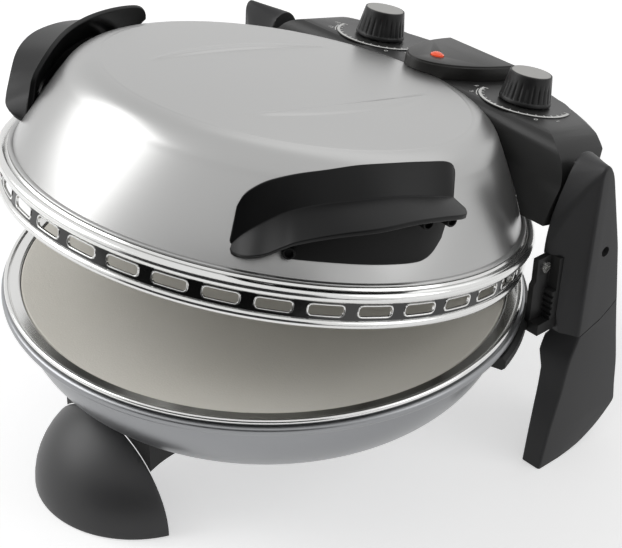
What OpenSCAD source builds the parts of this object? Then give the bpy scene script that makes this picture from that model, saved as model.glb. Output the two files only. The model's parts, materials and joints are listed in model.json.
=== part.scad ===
// Electric pizza maker with a hinged domed lid.
// Origin on the floor under the middle of the body, front of the bowl toward -Y, millimetres.
// Bowl, stone, feet and arms stand still; lid, stone and the two knobs have joints.

/* [Bowl] */
// Outer radius of the rolled bowl rim
rim_r = 165; // [164:0.5:165.5]
// Height of the top of the rim above the floor
rim_z = 115; // [114.5:0.5:115]
// Outer radius of the light skirt band under the rim
skirt_r = 167; // [166.6:0.1:167.4]
// Wall thickness of the bowl
bowl_wall = 1.6; // [1.2:0.2:2]
// Radius of the flat bottom of the bowl
bowl_flat_r = 100; // [98:1:102]
// Height of the bottom of the bowl above the floor
bowl_bottom_z = 49; // [49:0.5:52]

/* [Stone] */
// Radius of the baking stone
stone_r = 154.5; // [150:0.5:155]
// Thickness of the baking stone
stone_t = 12; // [9:0.5:12]

/* [Lid] */
// Angle by which the lid stands open at rest
open_angle = 11.86; // [11:0.1:13]
// Distance of the hinge axis behind the bowl axis
hinge_y = 197;
// Height of the hinge axis
hinge_z = 141.5;
// Height of the lower edge of the closed lid
lid_z = 116.4; // [116.4:0.2:117.4]
// Height of the crown above the lower edge
dome_h = 87; // [86:0.5:87.5]
// Radius of the flat plateau on top
plateau_r = 114;
// Wall thickness of the dome
dome_wall = 1.4; // [1:0.1:1.8]

/* [Slot band] */
// Number of slots round the band
slot_count = 36; // [24:1:36]
// Width of one slot
slot_w = 19.7; // [12:0.1:21]
// Height of one slot
slot_h = 6.2; // [4:0.1:7]

/* [Knobs] */
// Distance of each knob from the middle
knob_x = 67; // [64:0.5:68]
// Distance of the knobs behind the bowl axis
knob_y = 148; // [147:0.5:149]
// Radius at the foot of a knob
knob_r = 17; // [15:0.5:18]
// Height of a knob
knob_h = 19.2; // [16:0.2:22]
// Number of grip flutes on a knob
flute_count = 20; // [12:1:24]

/* [Plaque] */
// Half width of the plaque
plaque_w = 31; // [28:0.5:33]
// Height of the plaque above the console
plaque_h = 10; // [8:0.5:11]
// Radius of the pilot lens
lens_r = 4.5; // [3:0.5:5]

/* [Console] */
// Half width of the console between the arms
console_x = 136.5; // [134:0.5:137]
// Height of the flat console top of the closed lid
console_z = 198.3;
// Wall thickness of the mouldings
shell_t = 3; // [2.4:0.2:3.4]

/* [Handles] */
// Thickness of the handle mouldings
handle_t = 3; // [2.6:0.2:3.6]
// Thickness of the plate behind the grip
plate_t = 2.4; // [2:0.2:2.8]

/* [Legs] */
// Half width over the outer faces of the legs
leg_x = 165; // [163:0.5:167]
// Half width between the inner faces of the arms
arm_in_x = 138; // [138:0.5:139]

/* [Front foot] */
// Radius of the quarter dome of the front foot
foot_r = 66; // [62:1:68]
// Distance of the back face of the foot in front of the bowl axis
foot_back = 127; // [124:1:130]
// Height of the quarter dome of the front foot
foot_h = 58; // [54:1:60]

/* [Hidden] */
$fn = 96;
centre_y = 24.84;
band_r = 163.7;
band_t = 1.2;
bead_r = 3.5;
bead_c = [164.5, 19.5];
lip_c = [163.3, 2.65];
lip_r = 2.65;
slot_mid_h = 10.5;
wall_low = [158.3, 25];
wall_high = [134.8, 70];
shoulder_c = [111.8, 58];
shoulder_r = 26;
wall_bow = 0.8;
neck_r = 161.5;
stone_top = rim_z - 2;
ledge_z = stone_top - stone_t - 0.1;
pan_r = 155;
pan_floor_z = 66;
pan_t = 0.8;
pin_r = 4;
lug_r = 8;
plate_z = 150;
hole_slack = 0.06;
shaft_r = 3;
dial_t = 0.6;
eps = 0.01;
bracket_x = 138.9;
bracket_top = 148;
bracket_screw = [0, 103.5, 141.5];
cradle_top = 104.8;
bracket_y = [95, 113];
bracket_reach = 150;
ellipse_c = [bowl_flat_r, 105];
ellipse_a = 158 - bowl_flat_r;
ellipse_b = 105 - bowl_bottom_z;
handle_keys = [39.5, 86];
plate_keys = [50, 86];
post_places = [[51.1, 39.5], [78.2, 60.3], [84, 60.8]];
post_r = 3.6;
post_in = 132;
post_out = 161;
foot_c = -104;
gland = [92, 191.5, 165];
gland_r = 6;
gland_flange_r = 8;
heater_radii = [62, 108];
heater_r = 3.5;
lower_heater_z = 84;
upper_heater_h = 54;
clip_gap = heater_r + 0.1;
clip_turn = 30;
lug_x = 39;
ear_x = 29;
lug_t = 8;
lug_foot_z = 104;
cradle_low = 96;
pad_low = 97;
arm_screw = [0, 133, 151];
arm_screw_sink = 6;
dial_r = 30.5;
lens_y = 133;
cap_sink = 0.6;
knob_lip = 1.9;
knob_gap = 0.4;
console_low = 147;
console_plate_t = 3;
end_r = 30;
corner_r = 50;
corner_y = 128.6;
plaque_c = 179;
plaque_a = 68.6;
plaque_edge = 1.2;

// Which sub-part to draw

// ---- helpers ----

// points on an ellipse, axes a and b
function arc_pts(c, a, b, a0, a1, n) =
    [for (i = [0:n]) [c[0] + a * cos(a0 + (a1 - a0) * i / n), c[1] + b * sin(a0 + (a1 - a0) * i / n)]];

// points on a line from p to q with an outward bow s
function bow_pts(p, q, s, n) =
    let (d = q - p, m = [d[1], -d[0]] / norm(d))
    [for (i = [0:n]) let (t = i / n) p + d * t + m * (4 * s * t * (1 - t))];

// smooth curve through the rows [key, a, b] of a table
function seg(tab, x) = max([for (i = [0:len(tab) - 2]) if (x >= tab[i][0]) i]);
function cubic(a, b, c, d, t) =
    b + (c - a) * t / 2 + (2 * a - 5 * b + 4 * c - d) * t * t / 2 + (3 * b - a - 3 * c + d) * t * t * t / 2;
function along(tab, x, k) =
    let (i = seg(tab, x), n = len(tab) - 1, t = (x - tab[i][0]) / (tab[i + 1][0] - tab[i][0]))
    cubic(tab[max(i - 1, 0)][k], tab[i][k], tab[i + 1][k], tab[min(i + 2, n)][k], t);

// azimuth from the front toward +X, radius and height above the lid edge to a point
function on_lid(az, r, h) = [r * sin(az), -r * cos(az), lid_z + h];

module place() {
    translate([0, -centre_y, 0]) children();
}

module about_hinge() {
    translate([0, hinge_y, hinge_z]) rotate([-open_angle, 0, 0]) translate([0, -hinge_y, -hinge_z]) children();
}

module on_open_lid() {
    place() about_hinge() children();
}

// outline in Y and Z pushed out along X from x0 to x1
module side_extrude(x0, x1) {
    translate([x0, 0, 0]) rotate([90, 0, 90]) linear_extrude(x1 - x0) children();
}

module along_x(r, x0, x1) {
    translate([x0, 0, 0]) rotate([0, 90, 0]) cylinder(r = r, h = x1 - x0, $fn = 48);
}

module rounded_slot(w, h, r) {
    square([w - 2 * r, h], center = true);
    square([w, h - 2 * r], center = true);
    for (x = [-1, 1], y = [-1, 1]) translate([x * (w / 2 - r), y * (h / 2 - r)]) circle(r = r, $fn = 24);
}

// ---- bowl ----

// outer profile of the bowl pushed inward by d
function bowl_profile(d) = concat(
    [[neck_r + 1.5 - d, rim_z - 2.4], [neck_r + 1.5 - d, 110.6 - d], [165 - d, 110.6 - d],
     [skirt_r - d, 106.6], [skirt_r - 1.2 - d, 105.4 + d * 0.8], [ellipse_c[0] + ellipse_a - d, 105 + d]],
    arc_pts(ellipse_c, ellipse_a - d, ellipse_b - d, -6, -90, 14));

module bowl_solid(d) {
    rotate_extrude() polygon(concat([[0, bowl_bottom_z + d]], [[0, rim_z - 2.4]], bowl_profile(d)));
}

module base_bowl() {
    color("silver") place() difference() {
        bowl_solid(0);
        translate([0, 0, eps]) bowl_solid(bowl_wall);
    }
}

module bowl_rim() {
    roll = 1.75;
    color("gainsboro") place() rotate_extrude() {
        polygon([[pan_r, rim_z - 2.4], [rim_r - roll, rim_z - 2.4], [rim_r - roll, rim_z - 1.4],
            [155.4, rim_z - 1.4]]);
        translate([rim_r - roll, rim_z - roll]) circle(r = roll, $fn = 32);
    }
}

module inner_pan() {
    low_r = 126;
    color("lightgray") place() rotate_extrude() polygon([
        [pan_r, rim_z - 2.4], [pan_r + pan_t, rim_z - 2.4], [pan_r + pan_t, ledge_z - pan_t],
        [148, ledge_z - pan_t], [low_r + pan_t, pan_floor_z - pan_t], [0, pan_floor_z - pan_t],
        [0, pan_floor_z], [low_r, pan_floor_z], [147, ledge_z], [pan_r, ledge_z]]);
}

module ring_tube(rad, z, r) {
    translate([0, 0, z]) rotate_extrude() translate([rad, 0]) circle(r = r, $fn = 24);
}

// two heater rings joined by a radial bar
module heater(z) {
    for (rad = heater_radii) ring_tube(rad, z, heater_r);
    translate([0, heater_radii[0], z]) rotate([-90, 0, 0])
        cylinder(r = heater_r, h = heater_radii[1] - heater_radii[0], $fn = 24);
}

module lower_element() {
    color("dimgray") place() heater(lower_heater_z);
}

// upright strips that hold the two heater rings
module clip_set(z0, z1) {
    for (i = [0:2]) rotate([0, 0, clip_turn + i * 120]) for (r = heater_radii)
        translate([r - 3, -5, z0]) cube([6, 10, z1 - z0]);
}

module element_clips() {
    color("lightgray") place() clip_set(pan_floor_z, lower_heater_z - clip_gap);
}

module baking_stone() {
    bevel = 1.2;
    color("beige") place() rotate_extrude() polygon([
        [0, stone_top - stone_t], [stone_r - bevel, stone_top - stone_t],
        [stone_r, stone_top - stone_t + bevel], [stone_r, stone_top - bevel],
        [stone_r - bevel, stone_top], [0, stone_top]]);
}

// ---- front foot ----

module foot_dome(d) {
    translate([0, foot_c, 0]) rotate_extrude() polygon(concat([[0, 0]],
        arc_pts([0, 0], foot_r - d, foot_h - d, 0, 90, 16)));
}

module front_foot() {
    color("#2b2b2b") place() difference() {
        intersection() {
            foot_dome(0);
            translate([-80, -foot_back - 60, 0]) cube([160, 60, 100]);
        }
        translate([0, 0, -eps]) foot_dome(shell_t);
        bowl_solid(-0.3);
    }
}

module foot_block() {
    color("#202020") place() difference() {
        translate([-44, -foot_back + 0.2, 34]) cube([88, 26, 30]);
        bowl_solid(-0.3);
        foot_dome(shell_t - 3.2);
    }
}

// ---- rear cradle, brackets, legs ----

module rear_cradle() {
    a0 = 18;
    color("#262626") place() difference() {
        union() {
            rotate([0, 0, a0]) rotate_extrude(angle = 180 - 2 * a0)
                polygon([[158.8, cradle_low], [168, cradle_low], [170, cradle_low + 2], [170, cradle_top - 1.8],
                    [167.5, cradle_top], [158.8, cradle_top]]);
            for (s = [-1, 1]) {
                translate([s * lug_x - 12, 160, cradle_low]) cube([24, 45, lug_foot_z - cradle_low]);
                translate([s * (arm_in_x + 1) - 11, bracket_y[0], pad_low])
                    cube([22, bracket_y[1] - bracket_y[0], cradle_top - pad_low]);
            }
        }
        bowl_solid(-0.3);
    }
}

// upright plate with a flange along the arm and a ribbed foot
module bracket() {
    out = bracket_x + 4;
    front = bracket_y[0];
    back = bracket_y[1];
    color("#1c1c1c") place() {
        difference() {
            side_extrude(bracket_x, out) polygon([[front, cradle_top], [front, 130], [front + 2, 132.5],
                [front + 2, bracket_top], [back, bracket_top], [back, cradle_top]]);
            translate(bracket_screw) along_x(2.2, bracket_x - 1, out + 1);
        }
        translate([bracket_x, back - 4, cradle_top])
            cube([bracket_reach - bracket_x, 4, bracket_top - cradle_top]);
        difference() {
            translate([out, back - 7.5, cradle_top]) cube([bracket_reach - out, 4, 20]);
            for (z = [107.5:4.2:122]) translate([out - 1, back - 8.5, z]) cube([20, 2.4, 2]);
        }
    }
}

module bracket_left() {
    mirror([1, 0, 0]) bracket();
}

module bracket_right() {
    bracket();
}

module plate_screw() {
    head = bracket_x + 4;
    place() translate(bracket_screw) difference() {
        union() {
            along_x(2.1, bracket_x, head + 0.2);
            along_x(3.6, head, head + 2);
        }
        for (w = [0, 90]) rotate([w, 0, 0]) translate([head + 1.2, -2.6, -0.5]) cube([1, 5.2, 1]);
    }
}

module bracket_screws() {
    color("silver") {
        plate_screw();
        mirror([1, 0, 0]) plate_screw();
    }
}

seam = [[118.5, 93], [128, 96], [138, 99], [147, 104], [154, 109]];
leg_front = [[116, 0], [95, 0], [101, 30], [107, 53], [112, 77], [118.5, 93]];
leg_rear = [[154, 109], [159, 82], [164, 57], [166, 39], [168, 23], [155, 12], [146, 7], [136, 3], [126, 1]];
arm_front = [[118.5, 93], [119.6, 125], [120, 165], [120, 203], [120.7, 208.5], [122.5, 211.5], [125, 212.4]];
arm_rear = [[127.5, 211.2], [130, 208], [132.4, 203], [135, 194], [141, 171], [147, 148], [154, 109]];
arm_inner = [[116, 93], [110.5, 122], [106.5, 148], [108.5, 167], [113.5, 181], [119, 192], [124, 201], [129, 206.5],
    [135, 208.5], [141, 206.5], [145.5, 201], [148.5, 190], [150, 165], [151.5, 135], [152, 109]];

module leg() {
    color("#333333") place() intersection() {
        side_extrude(arm_in_x, leg_x) polygon(concat(leg_front, [for (i = [1:3]) seam[i]], leg_rear));
        rotate([90, 0, 0]) translate([0, 0, -200]) linear_extrude(150) polygon([
            [150, -1], [leg_x + 1, -1], [leg_x + 1, 120], [142, 120], [142, 88], [140, 85],
            [140, 75], [144.5, 65], [146, 50], [148, 30]]);
    }
}

module leg_left() {
    mirror([1, 0, 0]) leg();
}

module leg_right() {
    leg();
}

module arm_cover() {
    gap = 0.3;
    color("#303030") place() difference() {
        hull() {
            side_extrude(leg_x - 2, leg_x) polygon(concat(arm_front, arm_rear, [[138, 99]]));
            side_extrude(arm_in_x, arm_in_x + 2) polygon(arm_inner);
        }
        side_extrude(arm_in_x - 1, leg_x + 1) polygon(concat(
            [for (p = seam) p + [0, gap]], [[165, 112], [165, 60], [100, 60], [100, 93 + gap]]));
        translate(arm_screw) along_x(3.4, leg_x - arm_screw_sink, leg_x + 1);
        translate([bracket_reach - 20, bracket_y[0] - 5, cradle_top - 0.1])
            cube([20 + gap, bracket_y[1] + 5 + gap - bracket_y[0], bracket_top - cradle_top + gap + 0.1]);
    }
}

module arm_cover_left() {
    mirror([1, 0, 0]) arm_cover();
}

module arm_cover_right() {
    arm_cover();
}

module cover_screw() {
    place() translate(arm_screw) along_x(3, leg_x - arm_screw_sink, leg_x - 3.5);
}

module cover_screws() {
    color("dimgray") {
        cover_screw();
        mirror([1, 0, 0]) cover_screw();
    }
}

// ---- hinge ----

module hinge_lugs() {
    color("#262626") place() for (s = [-1, 1]) difference() {
        union() {
            side_extrude(s * lug_x - lug_t / 2, s * lug_x + lug_t / 2) polygon([[hinge_y - lug_r, lug_foot_z],
                [hinge_y + lug_r, lug_foot_z], [hinge_y + lug_r, hinge_z], [hinge_y - lug_r, hinge_z]]);
            translate([0, hinge_y, hinge_z]) along_x(lug_r, s * lug_x - lug_t / 2, s * lug_x + lug_t / 2);
        }
        translate([0, hinge_y, hinge_z]) along_x(pin_r + hole_slack / 2, s * lug_x - lug_t, s * lug_x + lug_t);
    }
}

module hinge_pin() {
    color("silver") place() translate([0, hinge_y, hinge_z]) {
        along_x(pin_r, -lug_x - 7, lug_x + 7);
        for (s = [-1, 1]) along_x(pin_r + 2, s * (lug_x + 6) - 1.5, s * (lug_x + 6) + 1.5);
    }
}

module hinge_ears() {
    color("#262626") on_open_lid() for (s = [-1, 1]) difference() {
        union() {
            side_extrude(s * ear_x - lug_t / 2, s * ear_x + lug_t / 2) polygon([[hinge_y - lug_r, hinge_z],
                [hinge_y + lug_r, hinge_z], [hinge_y + lug_r, plate_z], [hinge_y - lug_r, plate_z]]);
            translate([0, hinge_y, hinge_z]) along_x(lug_r, s * ear_x - lug_t / 2, s * ear_x + lug_t / 2);
        }
        translate([0, hinge_y, hinge_z]) along_x(pin_r + hole_slack, s * ear_x - lug_t, s * ear_x + lug_t);
    }
}

// ---- lid ----

function unit(v) = v / norm(v);

wall_dir = unit(wall_high - wall_low);
wall_out = [wall_dir[1], -wall_dir[0]];

// outer profile of the dome pushed inward by d
function dome_profile(d) = concat(
    bow_pts(wall_low - wall_out * d, wall_high - wall_out * d, wall_bow, 6),
    arc_pts(shoulder_c, shoulder_r - d, shoulder_r - d, 36, 85, 7),
    [for (i = [1:4]) [plateau_r * (1 - i / 4), dome_h - d - 3 * pow(1 - i / 4, 2)]]);

module dome_solid(d) {
    translate([0, 0, lid_z]) rotate_extrude() polygon(concat([[0, wall_low[1]]], dome_profile(d)));
}

module dome_shell() {
    color("lightsteelblue") on_open_lid() {
        difference() {
            dome_solid(0);
            translate([0, 0, -eps]) dome_solid(dome_wall);
        }
        translate([0, 0, lid_z]) rotate_extrude() polygon([[156.4, 23.5], [161, 23.5], [161, 24.9],
            [158.4, 25.2], [156.4, 25.2]]);
    }
}

module slot_band() {
    color("gainsboro") on_open_lid() translate([0, 0, lid_z]) difference() {
        rotate_extrude() {
            translate([band_r - band_t, lip_c[1]]) square([band_t, bead_c[1] - lip_c[1]]);
            translate(bead_c) circle(r = bead_r, $fn = 32);
            translate(lip_c) circle(r = lip_r, $fn = 32);
            polygon([[157, 22.2], [164.5, 22.2], [164.5, 23.4], [157, 23.4]]);
        }
        for (i = [0:slot_count - 1]) rotate([0, 0, i * 360 / slot_count])
            translate([0, -band_r + 4, slot_mid_h]) rotate([90, 0, 0]) linear_extrude(8)
                rounded_slot(slot_w, slot_h, 2.2);
    }
}

module lid_reflector() {
    t = 0.8;
    color("lightgray") on_open_lid() translate([0, 0, lid_z]) rotate_extrude() polygon([
        [156, 22.4], [156, 23.3], [150, 23.3], [121, 70], [0, 77], [0, 77 - t], [120.5, 70 - t],
        [149.4, 22.4]]);
}

module upper_element() {
    color("dimgray") on_open_lid() heater(lid_z + upper_heater_h);
}

module upper_clips() {
    color("lightgray") on_open_lid() difference() {
        clip_set(lid_z + upper_heater_h + clip_gap, lid_z + 71);
        translate([0, 0, lid_z]) rotate_extrude() polygon([[120.7, 69.1], [0, 76.1], [0, 90], [130, 90]]);
    }
}

// ---- handles ----

// the three guide curves of a handle: key, azimuth, radius and height
shield_top = [[39.5, 39.6, 152.5, 57], [40.5, 40.4, 151.4, 63], [42, 42, 149.6, 67.8], [45, 45, 147.3, 73],
    [50, 50, 145.2, 78], [56, 56, 143.6, 82], [64, 64, 141.2, 86], [74, 74, 140.4, 88], [81, 82, 141, 88.3],
    [84, 86.4, 141.4, 87.5], [85.3, 88.7, 141.7, 84.6], [86, 89.6, 142.2, 79.5]];
grip_root = [[39.5, 39.5, 153, 34], [42, 42, 153.5, 43.3], [46, 46, 152, 52.2], [50, 50, 150.5, 58.8],
    [56, 56, 150, 64.8], [62, 62, 150, 68.4], [72, 72, 150, 72.2], [80, 80.5, 150, 71.8], [86, 87.3, 150, 69.6]];
grip_edge = [[39.5, 39.9, 154.6, 33.4], [41, 41.4, 161.5, 34.6], [43.5, 43.6, 167, 37], [46.5, 46.5, 169.2, 40.6],
    [49.5, 49.5, 170.6, 46.9], [52, 52, 172, 51.9], [58, 58, 175.8, 60], [65, 65, 177.6, 65.6],
    [72, 72, 175, 69.3], [78, 78.5, 172.4, 69.9], [83, 83, 170.6, 69.2], [85, 84.8, 167.8, 69], [86, 86.2, 162, 69]];
plate_edge = [[50, 50.5, 155.6, 34.2], [60, 60, 155.4, 34.5], [70, 70, 155.4, 34.3], [78, 78, 155.3, 34.6],
    [81.5, 81.2, 154.7, 36], [84, 83.6, 153.2, 39.5], [86, 86, 150.9, 46]];

// smooth point of a guide curve: azimuth, radius and height
function guide(tab, x) = [for (k = [1:3]) along(tab, x, k)];

// closed section of the handle at one key, as points of azimuth, radius and height
function handle_section(x) =
    let (t = guide(shield_top, x), j = guide(grip_root, x), g = guide(grip_edge, x),
        u = unit([t[1] - j[1], t[2] - j[2]]), v = unit([g[1] - j[1], g[2] - j[2]]),
        nu = [0, -u[1], u[0]] * handle_t, nv = [0, v[1], -v[0]] * handle_t)
    [t, j, g, g + nv, j + nu + nv, t + nu];

// end faces of a skin: an angle section of six points or a strip of four
angle_end = [[0, 1, 5], [1, 4, 5], [1, 2, 3], [1, 3, 4]];
strip_end = [[0, 1, 2], [0, 2, 3]];

// skin over rows of points, each row a closed loop
module skin(rows, end_faces) {
    m = len(rows[0]);
    n = len(rows) - 1;
    polyhedron(points = [for (r = rows) for (p = r) on_lid(p[0], p[1], p[2])], faces = concat(
        [for (e = end_faces) [e[2], e[1], e[0]]],
        [for (i = [0:n - 1]) for (k = [0:m - 1]) let (q = (k + 1) % m, b = i * m)
            each [[b + k, b + q, b + m + q], [b + k, b + m + q, b + m + k]]],
        [for (e = end_faces) [for (k = e) n * m + k]]));
}

module handle() {
    n = 34;
    span = handle_keys[1] - handle_keys[0];
    color("#202020") on_open_lid() difference() {
        skin([for (i = [0:n]) handle_section(handle_keys[0] + span * i / n)], angle_end);
        dome_solid(-0.15);
    }
}

module handle_left() {
    mirror([1, 0, 0]) handle();
}

module handle_right() {
    handle();
}

// closed section of the back plate between the grip and the dome wall
function plate_section(x) =
    let (low = guide(plate_edge, x), j = guide(grip_root, x), g = guide(grip_edge, x),
        v = unit([g[1] - j[1], g[2] - j[2]]), w = [0, plate_t, 0],
        top = j + [0, v[1] * handle_t, -v[0] * handle_t - 2.1])
    [top, low, low - w, top - w];

module handle_plate() {
    n = 16;
    span = plate_keys[1] - plate_keys[0];
    color("#1c1c1c") on_open_lid() difference() {
        skin([for (i = [0:n]) plate_section(plate_keys[0] + span * i / n)], strip_end);
        dome_solid(-0.15);
        for (p = post_places) post_axis(p) translate([0, 0, post_in]) cylinder(r = post_r + 0.1, h = 40, $fn = 32);
    }
}

module handle_plate_left() {
    mirror([1, 0, 0]) handle_plate();
}

module handle_plate_right() {
    handle_plate();
}

// stands a shape on the radial line of a post: azimuth and height
module post_axis(p) {
    translate([0, 0, lid_z + p[1]]) rotate([0, 0, p[0]]) rotate([90, 0, 0]) children();
}

module handle_posts() {
    color("#262626") on_open_lid() for (m = [0, 1]) mirror([m, 0, 0]) difference() {
        for (p = post_places) post_axis(p) difference() {
            translate([0, 0, post_in]) cylinder(r = post_r, h = post_out - post_in, $fn = 32);
            translate([0, 0, post_out - 2.5]) cylinder(r = post_r - 1.2, h = 3, $fn = 32);
        }
        dome_solid(-0.05);
    }
}

// ---- console ----

// side view of the console's front face with its rounded top edge
console_side = concat([[102, 147], [105, 158.5], [110, 172]],
    arc_pts([122.5, 187.8], 10.5, 10.5, 176, 90, 6), [[240, console_z], [240, 147]]);
// section of the console's rear round the bowl axis: radius and height
console_rear = [[222, 147], [213, 160], [208, 172], [204.3, 182], [201.5, 190], [198.3, 195.5], [193, console_z]];

// plan of the console with its rounded rear corners, pushed inward by d
module console_plan(d) {
    x = console_x - d;
    r = corner_r - d;
    polygon(concat([[-x, 90], [x, 90]], arc_pts([console_x - corner_r, corner_y], r, r, 0, 56, 10),
        [[20, 240], [-20, 240]], arc_pts([corner_r - console_x, corner_y], r, r, 124, 180, 10)));
}

// moulding outline pushed inward by d
module console_form(d) {
    x = console_x - d;
    r = end_r - d;
    low = console_low;
    intersection() {
        rotate_extrude() polygon(concat([[100, low - d]],
            [for (p = console_rear) [p[0] - d, p[1] - (p[1] > low ? d * (p[1] - low) / (console_z - low) : d)]],
            [[100, console_z - d]]));
        side_extrude(-x, x)
            polygon([for (p = console_side) [p[0] + (p[0] < 230 ? d : 0), p[1] - (p[1] > low ? 0 : d)]]);
        rotate([90, 0, 0]) translate([0, 0, -240]) linear_extrude(240) polygon(concat([[-x, 140], [x, 140]],
            arc_pts([console_x - end_r, console_z - end_r], r, r, 0, 90, 12),
            arc_pts([end_r - console_x, console_z - end_r], r, r, 90, 180, 12)));
        translate([0, 0, 130]) linear_extrude(80) console_plan(d);
    }
}

module console_cover() {
    color("#2a2a2a") on_open_lid() difference() {
        console_form(0);
        console_form(shell_t);
        dome_solid(-0.2);
        for (s = [-1, 1]) translate([s * knob_x, knob_y, console_z - 5]) cylinder(r = 4.5, h = 6, $fn = 32);
        translate([gland[0], 0, gland[2]]) rotate([-90, 0, 0]) cylinder(r = gland_r + 0.1, h = 230, $fn = 32);
        translate([gland[0], gland[1] - 0.1, gland[2]]) rotate([-90, 0, 0])
            cylinder(r = gland_flange_r + 0.2, h = 40, $fn = 32);
        translate([-lug_x - 8, 185, 140]) cube([2 * lug_x + 16, 50, plate_z + console_plate_t + 0.2 - 140]);
    }
}

module console_base() {
    color("#1c1c1c") on_open_lid() intersection() {
        translate([0, 0, plate_z]) rotate_extrude()
            polygon([[157, 0], [215, 0], [213.2, console_plate_t], [157, console_plate_t]]);
        translate([0, 0, plate_z]) linear_extrude(console_plate_t) intersection() {
            console_plan(shell_t + 0.2);
            translate([-console_x, 108]) square([2 * console_x, 140]);
        }
    }
}

function plaque_pts(d) = concat(
    [for (i = [0:32]) let (a = 180 + 180 * i / 32)
        [(plaque_w - d) * cos(a), plaque_c + (plaque_a - d) * sin(a)]]);

module plaque() {
    color("#3a3a3a") on_open_lid() difference() {
        union() {
            translate([0, 0, console_z]) linear_extrude(plaque_h - plaque_edge) polygon(plaque_pts(0));
            translate([0, 0, console_z + plaque_h - plaque_edge - eps])
                linear_extrude(plaque_edge + eps) polygon(plaque_pts(1));
        }
        dome_solid(-0.2);
        translate([0, lens_y, console_z + plaque_h - 1]) cylinder(r = lens_r + 0.1, h = 2, $fn = 32);
    }
}

module pilot_lens() {
    color("orangered") on_open_lid() translate([0, lens_y, console_z + plaque_h - 1]) {
        cylinder(r = lens_r, h = 1.6, $fn = 32);
        translate([0, 0, 1.6]) cylinder(r1 = lens_r, r2 = lens_r - 1.2, h = 0.9, $fn = 32);
    }
}

module dial(s) {
    color("white") on_open_lid() translate([s * knob_x, knob_y, console_z]) difference() {
        cylinder(r = dial_r, h = dial_t, $fn = 72);
        translate([0, 0, -1]) cylinder(r = 5, h = 3, $fn = 32);
    }
}

module dial_left() {
    dial(-1);
}

module dial_right() {
    dial(1);
}

module control_body(s) {
    color("dimgray") on_open_lid() translate([s * knob_x, knob_y, 0]) difference() {
        translate([-15, -14, 178]) cube([30, 32, console_z - shell_t - 178]);
        translate([0, 0, 182]) cylinder(r = shaft_r + hole_slack, h = 20, $fn = 32);
    }
}

module thermostat_body() {
    control_body(1);
}

module timer_body() {
    control_body(-1);
}

module terminal_block() {
    color("ivory") on_open_lid() translate([-20, 164, plate_z + console_plate_t]) cube([40, 16, 12]);
}

module cable_gland() {
    color("#202020") on_open_lid() translate(gland) rotate([-90, 0, 0]) difference() {
        union() {
            translate([0, 0, -13.5]) cylinder(r = gland_r, h = 22.5, $fn = 32);
            cylinder(r = gland_flange_r, h = 6, $fn = 32);
        }
        translate([0, 0, -20]) cylinder(r = 3.4, h = 40, $fn = 32);
    }
}

// ---- knobs ----

module knob(s) {
    z0 = console_z + dial_t + knob_gap;
    top_r = knob_r * 14 / 17;
    lean = atan((knob_r - top_r) / knob_h);
    color("#262626") on_open_lid() translate([s * knob_x, knob_y, z0]) {
        difference() {
            cylinder(r1 = knob_r, r2 = top_r, h = knob_h, $fn = 64);
            for (i = [0:flute_count - 1]) rotate([0, 0, i * 360 / flute_count])
                translate([knob_r + 0.5, 0, 3]) rotate([0, -lean, 0]) cylinder(r = 1.2, h = 30, $fn = 16);
            translate([0, 0, knob_h - cap_sink]) cylinder(r = top_r - knob_lip, h = 2, $fn = 48);
        }
        translate([0, 0, 183 - z0]) cylinder(r = shaft_r, h = z0 - 183 + 1, $fn = 32);
    }
}

module cap(s) {
    z0 = console_z + dial_t + knob_gap + knob_h - cap_sink;
    color("silver") on_open_lid() translate([s * knob_x, knob_y, z0])
        cylinder(r = knob_r * 14 / 17 - knob_lip - 0.1, h = cap_sink + 0.3, $fn = 48);
}

module thermostat_knob() {
    knob(1);
}

module timer_knob() {
    knob(-1);
}

module thermostat_cap() {
    cap(1);
}

module timer_cap() {
    cap(-1);
}

base_bowl();
bowl_rim();
inner_pan();
lower_element();
element_clips();
front_foot();
foot_block();
rear_cradle();
bracket_left();
bracket_right();
bracket_screws();
leg_left();
leg_right();
arm_cover_left();
arm_cover_right();
cover_screws();
hinge_lugs();
hinge_pin();
baking_stone();
dome_shell();
slot_band();
lid_reflector();
upper_element();
upper_clips();
handle_left();
handle_right();
handle_plate_left();
handle_plate_right();
handle_posts();
console_cover();
console_base();
hinge_ears();
plaque();
pilot_lens();
dial_left();
dial_right();
thermostat_body();
timer_body();
terminal_block();
cable_gland();
thermostat_knob();
thermostat_cap();
timer_knob();
timer_cap();
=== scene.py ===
"""Looks of the electric pizza maker: smooth shells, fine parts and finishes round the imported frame."""

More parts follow.
